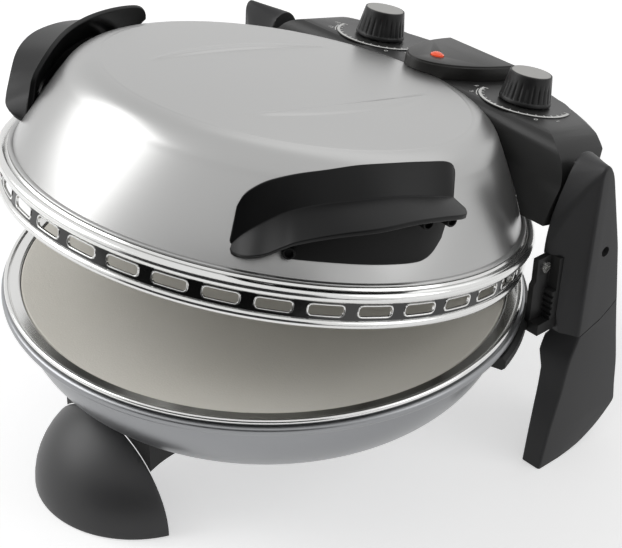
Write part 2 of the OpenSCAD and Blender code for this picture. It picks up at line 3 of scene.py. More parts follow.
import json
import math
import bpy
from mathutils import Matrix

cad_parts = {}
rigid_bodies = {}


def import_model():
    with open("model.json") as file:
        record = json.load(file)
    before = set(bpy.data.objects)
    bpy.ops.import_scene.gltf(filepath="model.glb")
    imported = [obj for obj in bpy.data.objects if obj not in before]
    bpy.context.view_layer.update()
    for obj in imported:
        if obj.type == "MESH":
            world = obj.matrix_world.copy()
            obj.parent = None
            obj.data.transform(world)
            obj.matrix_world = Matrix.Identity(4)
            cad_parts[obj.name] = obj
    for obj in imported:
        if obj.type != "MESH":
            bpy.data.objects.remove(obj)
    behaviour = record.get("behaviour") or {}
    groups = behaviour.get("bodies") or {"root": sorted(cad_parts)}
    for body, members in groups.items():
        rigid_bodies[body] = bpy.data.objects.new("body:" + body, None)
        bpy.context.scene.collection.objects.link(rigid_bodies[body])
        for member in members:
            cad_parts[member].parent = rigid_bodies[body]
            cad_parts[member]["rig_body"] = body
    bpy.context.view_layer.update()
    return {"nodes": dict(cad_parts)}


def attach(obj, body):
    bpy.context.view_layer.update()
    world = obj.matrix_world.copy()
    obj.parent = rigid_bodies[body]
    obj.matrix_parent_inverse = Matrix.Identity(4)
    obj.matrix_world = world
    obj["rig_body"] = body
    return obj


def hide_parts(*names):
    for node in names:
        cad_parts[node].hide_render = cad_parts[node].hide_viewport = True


bl_info = {
    "name": "Electric pizza maker looks",
    "version": (1, 0, 0),
    "blender": (4, 5, 0),
    "location": "View3D > Sidebar > Pizza maker",
    "description": "Builds the visible pieces and finishes of an electric pizza maker on its packed frame",
    "category": "Object",
}

import bmesh
import bpy
from bpy.props import FloatProperty, FloatVectorProperty, IntProperty, PointerProperty
from mathutils import Matrix, Vector

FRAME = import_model()

MM = 0.001
CENTRE_Y = 24.84
HINGE = (0.0, 197.0, 141.5)
OPEN_ANGLE = math.radians(11.86)
LID_Z = 116.4


# ---- places ----

TO_ROW = Matrix.Translation((0, -CENTRE_Y, 0))
TO_OPEN_LID = (
    TO_ROW
    @ Matrix.Translation(HINGE)
    @ Matrix.Rotation(-OPEN_ANGLE, 4, "X")
    @ Matrix.Translation((-HINGE[0], -HINGE[1], -HINGE[2]))
)
LID_AXIS = TO_OPEN_LID @ Matrix.Translation((0, 0, LID_Z))


def on_lid(azimuth, radius, height):
    """Point on the closed lid: azimuth in degrees from the front toward +X, radius and height in mm."""
    a = math.radians(azimuth)
    return Vector((radius * math.sin(a), -radius * math.cos(a), LID_Z + height))


# ---- meshes ----


def arc(centre, radius_a, radius_b, start, end, steps):
    """Points on an ellipse between two angles in degrees."""
    points = []
    for i in range(steps + 1):
        a = math.radians(start + (end - start) * i / steps)
        points.append((centre[0] + radius_a * math.cos(a), centre[1] + radius_b * math.sin(a)))
    return points


def bowed(start, end, bow, steps):
    """Points on a line with an outward bow."""
    p, q = Vector(start), Vector(end)
    d = q - p
    m = Vector((d.y, -d.x)).normalized()
    return [tuple(p + d * t + m * (4 * bow * t * (1 - t))) for t in (i / steps for i in range(steps + 1))]


def finish_shading(mesh, angle=32):
    """Smooth faces with edges kept sharp above an angle in degrees."""
    mesh.shade_smooth()
    mesh.set_sharp_from_angle(angle=math.radians(angle))


def mesh_of(build, name):
    """Mesh of a finished build."""
    mesh = bpy.data.meshes.new(name)
    build.to_mesh(mesh)
    build.free()
    return mesh


def put_in_scene(name, data):
    """New object of the scene."""
    thing = bpy.data.objects.new(name, data)
    bpy.context.scene.collection.objects.link(thing)
    return thing


def place_piece(name, mesh, matrix, body, slot, *nodes):
    """Puts a mesh given in mm into the row frame as a piece that rides a body and stands for CAD nodes."""
    mesh.transform(Matrix.Scale(MM, 4) @ matrix)
    if matrix.determinant() < 0:
        mesh.flip_normals()
    piece = put_in_scene(name, mesh)
    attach(piece, body)
    if nodes:
        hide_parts(*nodes)
    return piece


def join_rings(build, pairs):
    """Faces between pairs of closed rings of vertices; a ring of one vertex is a tip."""
    for low, high in pairs:
        count = max(len(low), len(high))
        if count == 1:
            continue
        for k in range(count):
            m = (k + 1) % count
            if len(low) == 1:
                build.faces.new((low[0], high[m], high[k]))
            elif len(high) == 1:
                build.faces.new((low[k], low[m], high[0]))
            else:
                build.faces.new((low[k], low[m], high[m], high[k]))


def lathe_mesh(name, profile, segments=192, relief=None, sharp=32):
    """Closed profile of (radius, height) turned round the axis.

    relief(index, angle, radius, height) gives a point its own radius and height; sharp is the angle of kept edges.
    """
    build = bmesh.new()
    rings = []
    for index, (radius, height) in enumerate(profile):
        if radius < 1e-6:
            rings.append([build.verts.new((0, 0, height))])
            continue
        ring = []
        for k in range(segments):
            a = 2 * math.pi * k / segments
            r, z = relief(index, a, radius, height) if relief else (radius, height)
            ring.append(build.verts.new((r * math.cos(a), r * math.sin(a), z)))
        rings.append(ring)
    join_rings(build, zip(rings, rings[1:] + rings[:1]))
    bmesh.ops.recalc_face_normals(build, faces=build.faces)
    mesh = mesh_of(build, name)
    finish_shading(mesh, sharp)
    return mesh


def weld(mesh, distance=0.0, outward=True):
    """Merges points nearer than a distance and turns the faces outward."""
    build = bmesh.new()
    build.from_mesh(mesh)
    if distance:
        bmesh.ops.remove_doubles(build, verts=build.verts, dist=distance)
    if outward:
        bmesh.ops.recalc_face_normals(build, faces=build.faces)
    build.to_mesh(mesh)
    build.free()


def rounding(maker, width, segments, angle):
    """Bevel on the edges sharper than an angle in degrees."""
    bevel = maker.modifiers.new("Rounding", "BEVEL")
    bevel.width = width
    bevel.segments = segments
    bevel.limit_method = "ANGLE"
    bevel.angle_limit = math.radians(angle)
    return bevel


def evaluated_mesh(thing, name):
    """Plain mesh of an object with its modifiers applied; the object is removed."""
    depsgraph = bpy.context.evaluated_depsgraph_get()
    depsgraph.update()
    mesh = bpy.data.meshes.new_from_object(thing.evaluated_get(depsgraph), depsgraph=depsgraph)
    mesh.name = name
    thing.modifiers.clear()
    bpy.data.objects.remove(thing)
    return mesh


CLOSE_M = 2e-6
FLAT_DEGREES = 0.6


def soften(node, width, segments, angle, smooth):
    """Copy of a CAD node with its corners rounded, standing for it. Width in mm, angles in degrees."""
    source = FRAME["nodes"][node]
    mesh = source.data.copy()
    mesh.materials.clear()
    build = bmesh.new()
    build.from_mesh(mesh)
    bmesh.ops.remove_doubles(build, verts=build.verts, dist=CLOSE_M)
    bmesh.ops.dissolve_limit(
        build, angle_limit=math.radians(FLAT_DEGREES), verts=build.verts, edges=build.edges, delimit={"NORMAL"}
    )
    build.to_mesh(mesh)
    build.free()
    maker = put_in_scene("soften_" + node, mesh)
    rounding(maker, width * MM, segments, angle).miter_outer = "MITER_ARC"
    result = evaluated_mesh(maker, node + "_soft")
    weld(result, CLOSE_M, outward=False)
    finish_shading(result, smooth)
    piece = put_in_scene(node + "_soft", result)
    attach(piece, source["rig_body"])
    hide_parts(node)
    return piece


# ---- repeats with Geometry Nodes ----


def round_tree():
    """Tree that repeats the object's own mesh round the Z axis and joins the copies."""
    tree = bpy.data.node_groups.get("Repeat round axis")
    if tree:
        return tree
    tree = bpy.data.node_groups.new("Repeat round axis", "GeometryNodeTree")
    tree.interface.new_socket("Geometry", in_out="INPUT", socket_type="NodeSocketGeometry")
    inputs = {"Count": "Int", "Start": "Float", "Step": "Float", "Weld": "Float", "Finish": "Material"}
    for name, kind in inputs.items():
        tree.interface.new_socket(name, in_out="INPUT", socket_type="NodeSocket" + kind)
    tree.interface.new_socket("Geometry", in_out="OUTPUT", socket_type="NodeSocketGeometry")
    nodes, link = tree.nodes, tree.links.new
    given, result = nodes.new("NodeGroupInput"), nodes.new("NodeGroupOutput")
    points = nodes.new("GeometryNodePoints")
    index = nodes.new("GeometryNodeInputIndex")
    turn = nodes.new("ShaderNodeMath")
    turn.operation = "MULTIPLY_ADD"
    spin = nodes.new("ShaderNodeCombineXYZ")
    rotation = nodes.new("FunctionNodeEulerToRotation")
    copies = nodes.new("GeometryNodeInstanceOnPoints")
    real = nodes.new("GeometryNodeRealizeInstances")
    merge = nodes.new("GeometryNodeMergeByDistance")
    paint = nodes.new("GeometryNodeSetMaterial")
    link(given.outputs["Count"], points.inputs["Count"])
    link(index.outputs[0], turn.inputs[0])
    link(given.outputs["Step"], turn.inputs[1])
    link(given.outputs["Start"], turn.inputs[2])
    link(turn.outputs[0], spin.inputs["Z"])
    link(spin.outputs[0], rotation.inputs[0])
    link(points.outputs[0], copies.inputs["Points"])
    link(given.outputs["Geometry"], copies.inputs["Instance"])
    link(rotation.outputs[0], copies.inputs["Rotation"])
    link(copies.outputs[0], real.inputs[0])
    link(real.outputs[0], merge.inputs["Geometry"])
    link(given.outputs["Weld"], merge.inputs["Distance"])
    link(merge.outputs[0], paint.inputs["Geometry"])
    link(given.outputs["Finish"], paint.inputs["Material"])
    link(paint.outputs[0], result.inputs[0])
    return tree


def repeat_round(mesh, count, start, step, finish, merge=0.0):
    """Mesh repeated count times round Z, angles in degrees, with a finish on it."""
    maker = put_in_scene("maker", mesh)
    modifier = maker.modifiers.new("Repeat", "NODES")
    modifier.node_group = round_tree()
    values = {
        "Count": count,
        "Start": math.radians(start),
        "Step": math.radians(step),
        "Weld": merge,
        "Finish": finish,
    }
    for item in modifier.node_group.interface.items_tree:
        if item.item_type == "SOCKET" and item.in_out == "INPUT" and item.name in values:
            modifier[item.identifier] = values[item.name]
    return evaluated_mesh(maker, mesh.name + "_round")


def grid_mesh(name, rows):
    """Closed skin through rows of points; each row is a closed loop."""
    build = bmesh.new()
    rings = [[build.verts.new(point) for point in row] for row in rows]
    join_rings(build, zip(rings, rings[1:]))
    build.faces.new(rings[0])
    build.faces.new(rings[-1])
    bmesh.ops.recalc_face_normals(build, faces=build.faces)
    return mesh_of(build, name)


def box_mesh(name, low, high):
    """Closed box between two corners."""
    rows = []
    for z in (low[2], high[2]):
        rows.append([(low[0], low[1], z), (high[0], low[1], z), (high[0], high[1], z), (low[0], high[1], z)])
    return grid_mesh(name, rows)


# ---- finishes ----


class Wire:
    """A shader socket that Python operators can work on."""

    def __init__(self, finish, socket):
        self.finish = finish
        self.socket = socket

    def _math(self, operation, first, second):
        return self.finish.add("ShaderNodeMath", {"operation": operation}, {0: first, 1: second})

    def __add__(self, other):
        return self._math("ADD", self, other)

    __radd__ = __add__

    def __mul__(self, other):
        return self._math("MULTIPLY", self, other)

    __rmul__ = __mul__


class Finish:
    """One procedural material made of a principled shader and what feeds it."""

    def __init__(self, name, **fixed):
        self.material = bpy.data.materials.new(name)
        self.material.use_nodes = True
        self.tree = self.material.node_tree
        self.tree.nodes.clear()
        self.output = self.tree.nodes.new("ShaderNodeOutputMaterial")
        self.shader = self.tree.nodes.new("ShaderNodeBsdfPrincipled")
        self.tree.links.new(self.shader.outputs[0], self.output.inputs[0])
        self.place = self.add("ShaderNodeTexCoord", out="Object")
        for socket, value in fixed.items():
            self.set(socket.replace("_", " "), value)

    def set(self, socket, value):
        """Feeds one socket of the principled shader with a value or a wire."""
        target = self.shader.inputs[socket]
        if isinstance(value, Wire):
            self.tree.links.new(value.socket, target)
        elif isinstance(value, (tuple, list)) and len(value) == 3:
            target.default_value = (*value, 1.0)
        else:
            target.default_value = value

    def add(self, kind, settings=None, feeds=None, out=0):
        """Any other node: its type, its settings, the values or wires of its sockets, the output wanted."""
        node = self.tree.nodes.new(kind)
        for key, value in (settings or {}).items():
            setattr(node, key, value)
        for key, value in (feeds or {}).items():
            socket = node.inputs[key]
            if isinstance(value, Wire):
                self.tree.links.new(value.socket, socket)
            else:
                socket.default_value = value
        return Wire(self, node.outputs[out])

    def noise(self, scale, detail, roughness=0.55):
        """Even noise value, scale per metre."""
        return self.add(
            "ShaderNodeTexNoise",
            feeds={"Vector": self.place, "Scale": scale, "Detail": detail, "Roughness": roughness},
            out="Fac",
        )

    def blend(self, factor, first, second):
        """Colour between two colours."""
        return self.add(
            "ShaderNodeMix",
            {"data_type": "RGBA"},
            {0: factor, 6: (*first, 1.0), 7: (*second, 1.0)},
            out=2,
        )

    def bump(self, height, strength, distance):
        """Fine relief on the surface."""
        self.set(
            "Normal",
            self.add("ShaderNodeBump", feeds={"Height": height, "Strength": strength, "Distance": distance}),
        )


GRAIN_SCALE = 2600.0


def moulded(name, colour, roughness, depth=0.25, specular=0.3):
    """Grained black plastic with faint handling marks."""
    finish = Finish(name, Specular_IOR_Level=specular)
    cloud = finish.noise(18, 3)
    fine = finish.noise(GRAIN_SCALE, 2)
    dark = tuple(c * 0.82 for c in colour)
    light = tuple(min(1, c * 1.2 + 0.004) for c in colour)
    finish.set("Base Color", finish.blend(cloud, dark, light))
    finish.set("Roughness", roughness - 0.05 + cloud * 0.1 + fine * 0.05)
    finish.bump(fine, depth, 0.0002)
    return finish.material


def metal(name, colour, roughness, metallic, wear):
    """Sheet metal with faint rolling marks and smears."""
    finish = Finish(name, Metallic=metallic)
    cloud = finish.noise(9, 4)
    streak = finish.noise(320, 3)
    finish.set("Base Color", finish.blend(cloud, tuple(c * 0.96 for c in colour), colour))
    finish.set("Roughness", roughness - wear / 2 + cloud * wear + streak * 0.02)
    finish.bump(streak, 0.04, 0.0001)
    return finish.material


def make_finishes(colours):
    """All finishes by name."""
    metals = {
        "dome_gloss": ("Gloss silver", colours.dome, 0.3, 0.95, 0.04),
        # The bowl's lower wall is darker and its skirt lighter than their one silver paint: painted dark reflection
        # of the floor below and painted bright reflection above
        "bowl": ("Silver bowl paint darkened as painted reflection", colours.bowl, 0.3, 0.9, 0.06),
        "skirt": ("Skirt paint lightened as painted reflection", (0.86, 0.845, 0.81), 0.36, 0.5, 0.05),
        "polished": ("Polished steel", colours.steel, 0.16, 1.0, 0.04),
        # band_painted_reflection: the band is one polished steel; its flat field gets a near-black copy as painted
        # dark reflection
        "band_painted_reflection": ("Polished band with painted dark reflection", (0.06, 0.06, 0.06), 0.14, 1.0, 0.04),
        # rim_painted_reflection: the rim is one polished steel; its flat inner ring gets a dark copy as painted dark
        # reflection
        "rim_painted_reflection": ("Inner rim ring with painted dark reflection", (0.13, 0.122, 0.105), 0.34, 0.9, 0.06),
        "sheet": ("Rolled sheet", (0.55, 0.55, 0.54), 0.32, 1.0, 0.1),
        "heater": ("Heater tube", (0.16, 0.15, 0.145), 0.5, 0.8, 0.1),
        "screw": ("Plated screw", (0.6, 0.6, 0.58), 0.26, 1.0, 0.06),
        "cap": ("Satin cap", (0.36, 0.355, 0.34), 0.42, 0.55, 0.05),
    }
    plastics = {
        "black": ("Black moulding", (0.011, 0.011, 0.011), 0.44),
        "leg": ("Leg moulding", colours.leg, 0.46),
        "console": ("Console moulding", colours.console, 0.38, 0.1, 0.32),
        "foot": ("Foot moulding", (0.03, 0.03, 0.031), 0.4, 0.12, 0.45),
        "handle": ("Handle moulding", (0.0032, 0.0033, 0.0035), 0.3, 0.06, 0.18),
        "handle_inner": ("Handle back moulding", (0.005, 0.005, 0.005), 0.5, 0.1, 0.2),
        "knob": ("Knob moulding", (0.008, 0.008, 0.0082), 0.36, 0.12, 0.3),
        "dish": ("Dial dish", (0.014, 0.014, 0.0135), 0.34, 0.06, 0.4),
        "plaque": ("Plaque moulding", (0.016, 0.0155, 0.0145), 0.36, 0.08, 0.25),
        "ink": ("Dial print", (0.82, 0.82, 0.8), 0.5, 0.05),
    }
    made = {name: metal(*values) for name, values in metals.items()}
    made.update((name, moulded(*values)) for name, values in plastics.items())
    # The plateau is the same silver paint as the wall; its darker grey copy is painted reflection of the flat top
    plateau = Finish("Matt plateau with painted reflection", Metallic=0.3, Specular_IOR_Level=0.35)
    speck = plateau.noise(1400, 3)
    cloud = plateau.noise(7, 3)
    plateau.set("Base Color", plateau.blend(cloud, (0.165, 0.164, 0.157), (0.183, 0.182, 0.174)))
    plateau.set("Roughness", 0.4 + speck * 0.1)
    plateau.bump(speck, 0.12, 0.00015)
    made["dome_top_painted_reflection"] = plateau.material
    stone = Finish("Fired clay", Specular_IOR_Level=0.2)
    cloud = stone.noise(14, 5)
    pore = stone.noise(900, 4, 0.7)
    stone.set("Base Color", stone.blend(cloud, (0.8, 0.77, 0.69), (0.86, 0.835, 0.77)))
    stone.set("Roughness", 0.82 + pore * 0.12)
    stone.bump(pore, 0.5, 0.0004)
    made["stone"] = stone.material
    lens = Finish("Red lens", Transmission_Weight=0.25, Emission_Strength=0.25, IOR=1.49)
    facet = lens.noise(500, 2)
    lens.set("Base Color", lens.blend(facet, (0.72, 0.08, 0.03), (0.85, 0.16, 0.06)))
    lens.set("Emission Color", (0.9, 0.12, 0.04))
    lens.set("Roughness", 0.12 + facet * 0.08)
    made["lens"] = lens.material
    ceramic = Finish("White ceramic", Specular_IOR_Level=0.35)
    cloud = ceramic.noise(60, 3)
    ceramic.set("Base Color", ceramic.blend(cloud, (0.72, 0.69, 0.62), (0.8, 0.78, 0.72)))
    ceramic.set("Roughness", 0.55 + cloud * 0.1)
    made["ceramic"] = ceramic.material
    return made


FINISHES = {}

NODE_FINISH = {
    "inner_pan": "sheet",
    "lower_element": "heater",
    "element_clips": "sheet",
    "foot_block": "black",
    "rear_cradle": "black",
    "bracket_screws": "screw",
    "cover_screws": "screw",
    "hinge_lugs": "black",
    "hinge_pin": "screw",
    "lid_reflector": "sheet",
    "upper_element": "heater",
    "upper_clips": "sheet",
    "console_base": "black",
    "hinge_ears": "black",
    "thermostat_body": "sheet",
    "timer_body": "sheet",
    "terminal_block": "ceramic",
    "cable_gland": "black",
}


def wear(piece, *names):
    """Gives a piece its finishes, first name on every face unless the faces say otherwise."""
    piece.data.materials.clear()
    for name in names:
        piece.data.materials.append(FINISHES[name])
    return piece


# ---- properties ----


class BodySizes(bpy.types.PropertyGroup):
    """Sizes of the metal body."""

    slot_count: IntProperty(name="Slots", description="Slots round the band", default=36, min=12, max=48)
    slot_width: FloatProperty(name="Slot width", description="Width of a slot in mm", default=19.7, min=8, max=21)
    slot_height: FloatProperty(name="Slot height", description="Height of a slot in mm", default=6.2, min=3, max=7)
    rim_lift: FloatProperty(
        name="Slot rim", description="Height of the raised slot rim in mm", default=0.45, min=0, max=1
    )
    crescent_lift: FloatProperty(
        name="Crescents", description="Height of the embossed crescents in mm", default=1.2, min=0, max=3
    )
    turn_steps: IntProperty(name="Turn steps", description="Segments of a turned shell", default=216, min=64, max=360)


class ControlSizes(bpy.types.PropertyGroup):
    """Sizes of knobs and dials."""

    knob_radius: FloatProperty(name="Knob radius", description="Radius at the foot of a knob in mm", default=17)
    knob_height: FloatProperty(name="Knob height", description="Height of a knob in mm", default=19.2)
    ribs: IntProperty(name="Ribs", description="Grip ribs on a knob", default=24, min=12, max=48)
    tick_radius: FloatProperty(name="Tick radius", description="Inner radius of the dial ticks in mm", default=26.5)


class BodyColours(bpy.types.PropertyGroup):
    """Colours of the larger surfaces."""

    dome: FloatVectorProperty(name="Dome", description="Dome metal", subtype="COLOR", default=(0.43, 0.43, 0.426))
    # Bowl colour set darker than its silver paint: painted dark reflection
    bowl: FloatVectorProperty(name="Bowl", description="Bowl paint darkened as painted reflection", subtype="COLOR", default=(0.3, 0.305, 0.315))
    steel: FloatVectorProperty(
        name="Steel", description="Polished steel", subtype="COLOR", default=(0.72, 0.72, 0.71)
    )
    leg: FloatVectorProperty(
        name="Legs", description="Leg plastic", subtype="COLOR", default=(0.026, 0.026, 0.027)
    )
    console: FloatVectorProperty(
        name="Console", description="Console plastic", subtype="COLOR", default=(0.012, 0.012, 0.0118)
    )


# ---- body ----

WALL_LOW = (158.3, 25.0)
WALL_HIGH = (134.8, 70.0)
SHOULDER = (111.8, 58.0)
SHOULDER_R = 26.0
PLATEAU_R = 114.0
CROWN = 87.0
CROWN_DROP = 3.0
DOME_WALL = 1.4
DOME_LIP = [(156.4, 23.6), (160.9, 23.5), (161.3, 24.0), (161.3, 24.6), (160.9, 25.0), (158.8, 25.1)]
WALL_STEPS = 16
CROWN_STEPS = 120


def crown_at(radius, drop):
    """Height of the plateau at a radius."""
    return CROWN - drop - CROWN_DROP * (radius / PLATEAU_R) ** 2


def dome_profile(drop, steps):
    """Dome section pushed inward by drop, from the lower edge to the axis, with steps on the crown."""
    d = Vector(WALL_HIGH) - Vector(WALL_LOW)
    out = Vector((d.y, -d.x)).normalized() * drop
    points = bowed(Vector(WALL_LOW) - out, Vector(WALL_HIGH) - out, 0.8, WALL_STEPS)
    points += arc(SHOULDER, SHOULDER_R - drop, SHOULDER_R - drop, 31, 84.5, WALL_STEPS)
    for i in range(steps):
        radius = PLATEAU_R * (1 - i / steps)
        points.append((radius, crown_at(radius, drop)))
    return points + [(0.0, CROWN - drop)]


def soft_step(value, low, high):
    """Smooth ramp from 0 to 1."""
    t = min(1.0, max(0.0, (value - low) / (high - low)))
    return t * t * (3 - 2 * t)


def crescent(x, y):
    """Share of the emboss at a point of the plateau: two long crescents beside the middle."""
    x, y = abs(x), y - 3.0
    inner = 678.0 - math.hypot(x + 628.3, y)
    outer = 191.0 - math.hypot(x + 128.3, y)
    ramp = min(1.0, max(0.0, outer / 13.0))
    return soft_step(outer, 0.0, 3.0) * soft_step(-inner, -0.8, 2.0) * (0.3 + 0.7 * ramp)


class PIZZA_OT_dome(bpy.types.Operator):
    """Dome shell with a glossy wall and a matt embossed plateau whose darker grey is painted reflection"""

    bl_idname = "pizza.dome"
    bl_label = "Dome"

    def execute(self, context):
        sizes = context.scene.pizza_body
        outer = dome_profile(0.0, CROWN_STEPS)
        inner = list(reversed(dome_profile(DOME_WALL, 8)))
        crown_end = len(DOME_LIP) + len(outer)
        crown_start = crown_end - CROWN_STEPS - 1

        def relief(index, angle, radius, height):
            if crown_start <= index < crown_end:
                height += sizes.crescent_lift * crescent(radius * math.cos(angle), radius * math.sin(angle))
            return radius, height

        mesh = lathe_mesh("dome", DOME_LIP + outer + inner, sizes.turn_steps, relief, 55)
        # Upward faces inside the plateau radius are marked for the darker top copy: painted reflection
        for face in mesh.polygons:
            middle = face.center
            face.material_index = int(face.normal.z > 0.2 and math.hypot(middle.x, middle.y) < PLATEAU_R)
        piece = place_piece("dome", mesh, LID_AXIS, "lid", "dome_silver", "dome_shell")
        wear(piece, "dome_gloss", "dome_top_painted_reflection")
        return {"FINISHED"}


BAND_R = 163.7
BAND_T = 1.2
BAND_LOW, BAND_MIDDLE, BAND_HIGH = 5.0, 10.5, 16.4
SLOT_R = 2.2
SLOT_SIDE, SLOT_END = 20, 8


def slot_side(half, corner, radius, share, ends):
    """Point on one side of a rounded slot: along it and out of its flat. ends is the corners' share of the side."""
    span = half - radius
    if share < ends:
        a = math.radians(45 - 45 * share / ends)
        return -span - radius * math.sin(a), corner - radius + radius * math.cos(a)
    if share > 1 - ends:
        a = math.radians(45 * (share - 1 + ends) / ends)
        return span + radius * math.sin(a), corner - radius + radius * math.cos(a)
    return -span + 2 * span * (share - ends) / (1 - 2 * ends), corner


def slot_loop(width, height, grow):
    """Rounded slot outline grown by an amount, counted like the field's edge."""
    w, h, radius = width / 2 + grow, height / 2 + grow, SLOT_R + grow
    loop = []
    for side in range(4):
        flat = side % 2 == 0
        steps = SLOT_SIDE if flat else SLOT_END
        for i in range(steps):
            if flat:
                along_side, out = slot_side(w, h, radius, i / steps, 0.2)
                x, y = along_side, -out
            else:
                along_side, out = slot_side(h, w, radius, i / steps, 0.4)
                x, y = out, along_side
            loop.append((-x, -y) if side >= 2 else (x, y))
    return loop


def field_loop(half):
    """Edge of a sector's flat field, counted like the slot's outline."""
    low, high = BAND_LOW - BAND_MIDDLE, BAND_HIGH - BAND_MIDDLE
    corners = [(-half, low), (half, low), (half, high), (-half, high)]
    loop = []
    for side in range(4):
        a, b = corners[side], corners[(side + 1) % 4]
        steps = SLOT_END if side % 2 else SLOT_SIDE
        loop += [(a[0] + (b[0] - a[0]) * i / steps, a[1] + (b[1] - a[1]) * i / steps) for i in range(steps)]
    return loop


class PIZZA_OT_band(bpy.types.Operator):
    """Perforated band with raised slot rims, bead and lip, repeated round the lid"""

    bl_idname = "pizza.band"
    bl_label = "Slot band"

    def execute(self, context):
        sizes = context.scene.pizza_body
        half = math.pi * BAND_R / sizes.slot_count

        def bend(point, radius):
            a = point[0] / BAND_R - math.pi / 2
            return radius * math.cos(a), radius * math.sin(a), point[1] + BAND_MIDDLE

        w, h, lift = sizes.slot_width, sizes.slot_height, sizes.rim_lift
        loops = [
            (field_loop(half), BAND_R),
            (slot_loop(w, h, 1.0), BAND_R),
            (slot_loop(w, h, 0.65), BAND_R + lift),
            (slot_loop(w, h, 0.3), BAND_R + lift),
            (slot_loop(w, h, 0.0), BAND_R + lift * 0.5),
            (slot_loop(w, h, 0.0), BAND_R - BAND_T),
            (field_loop(half), BAND_R - BAND_T),
        ]
        build = bmesh.new()
        rings = [[build.verts.new(bend(point, radius)) for point in loop] for loop, radius in loops]
        join_rings(build, zip(rings, rings[1:]))
        bead = arc((164.5, 19.5), 3.5, 3.5, -103, 128, 18)
        upper = [(BAND_R, BAND_HIGH)] + bead[1:]
        upper += [(161.5, 23.4), (157.0, 23.4), (157.0, 22.2), (161.8, 22.2), (162.3, 21.4), (162.5, BAND_HIGH)]
        roll = arc((163.3, 2.65), 2.65, 2.65, 82, -180, 18)
        lower = [(BAND_R, BAND_LOW)] + roll + [(160.7, 3.6), (161.6, BAND_LOW - 0.2), (162.5, BAND_LOW)]
        for strip in (upper, lower):
            rows = []
            for radius, z in strip:
                places = [(-half + 2 * half * i / SLOT_SIDE, z - BAND_MIDDLE) for i in range(SLOT_SIDE + 1)]
                rows.append([build.verts.new(bend(place, radius)) for place in places])
            for a, b in zip(rows, rows[1:]):
                for k in range(SLOT_SIDE):
                    build.faces.new((a[k], a[k + 1], b[k + 1], b[k]))
        bmesh.ops.remove_doubles(build, verts=build.verts, dist=1e-3)
        sector = mesh_of(build, "band_sector")
        mesh = repeat_round(sector, sizes.slot_count, 0, 360 / sizes.slot_count, FINISHES["polished"], 0.004)
        weld(mesh)
        finish_shading(mesh, 40)
        # Faces of the band's flat field are marked for the near-black copy of the steel: painted dark reflection
        dark = []
        for face in mesh.polygons:
            radius = math.hypot(face.center.x, face.center.y)
            dark.append(BAND_LOW < face.center.z < BAND_HIGH and BAND_R - 0.2 < radius < BAND_R + 0.02)
        piece = place_piece("slot_band_ring", mesh, LID_AXIS, "lid", "polished_steel", "slot_band")
        wear(piece, "polished", "band_painted_reflection")
        for face, on_painted_field in zip(piece.data.polygons, dark):
            face.material_index = int(on_painted_field)
        return {"FINISHED"}


BOWL_WALL = 1.6
RIM_ROLL = 1.75


class PIZZA_OT_bowl(bpy.types.Operator):
    """Lower bowl, rolled rim and baking stone"""

    bl_idname = "pizza.bowl"
    bl_label = "Bowl"

    def execute(self, context):
        steps = context.scene.pizza_body.turn_steps
        outer = [(163.0, 112.6), (163.0, 110.9), (164.6, 110.6)]
        outer += arc((164.9, 108.6), 2.0, 2.0, 88, 8, 6)
        outer += [(166.95, 107.4), (166.9, 106.8), (166.4, 105.9), (165.6, 105.4), (158.6, 105.1)]
        outer += arc((100.0, 105.0), 58.0, 56.0, -1.5, -90, 40)
        inner = [(0.0, 49.0 + BOWL_WALL), (100.0 - 0.001, 49.0 + BOWL_WALL)]
        inner += arc((100.0, 105.0), 58.0 - BOWL_WALL, 56.0 - BOWL_WALL, -88, -4, 24)
        inner += [(156.4, 106.6), (161.4, 107.0), (161.4, 112.6)]
        mesh = lathe_mesh("bowl", inner + outer + [(0.0, 49.0)], steps)
        # Outward faces of the skirt band are marked for the lighter copy of the paint: painted bright reflection
        for face in mesh.polygons:
            out = Vector((face.center.x, face.center.y, 0)).normalized()
            face.material_index = int(105.2 < face.center.z < 111 and face.normal.dot(out) > 0.1)
        wear(place_piece("bowl_shell", mesh, TO_ROW, "base", "bowl_silver", "base_bowl"), "bowl", "skirt")

        roll = RIM_ROLL
        rim = arc((165 - roll, 115 - roll), roll, roll, -150, 130, 20)
        rim += [(161.3, 113.75), (155.8, 113.6), (155.5, 113.4), (155.5, 112.9), (155.8, 112.6), (161.6, 112.6)]
        mesh = lathe_mesh("rim", rim, steps)
        # Faces of the flat inner ring are marked for the dark copy of the steel: painted dark reflection
        for face in mesh.polygons:
            face.material_index = int(math.hypot(face.center.x, face.center.y) < 161.4)
        wear(place_piece("rim_roll", mesh, TO_ROW, "base", "polished_steel", "bowl_rim"), "polished", "rim_painted_reflection")

        stone = [(0.0, 101.0), (153.0, 101.0), (154.1, 101.4), (154.5, 102.3)]
        stone += arc((153.1, 111.6), 1.4, 1.4, 0, 90, 5)
        stone += [(120.0, 113.0), (60.0, 113.0), (0.0, 113.0)]
        mesh = lathe_mesh("stone", stone, steps)
        wear(place_piece("stone_disc", mesh, TO_ROW, "stone", "stone", "baking_stone"), "stone")
        return {"FINISHED"}


class PIZZA_OT_foot(bpy.types.Operator):
    """Front foot: open quarter dome with an even wall"""

    bl_idname = "pizza.foot"
    bl_label = "Front foot"

    def execute(self, context):
        wear(soften("front_foot", 0.7, 2, 40, 40), "foot")
        return {"FINISHED"}


# ---- handles ----

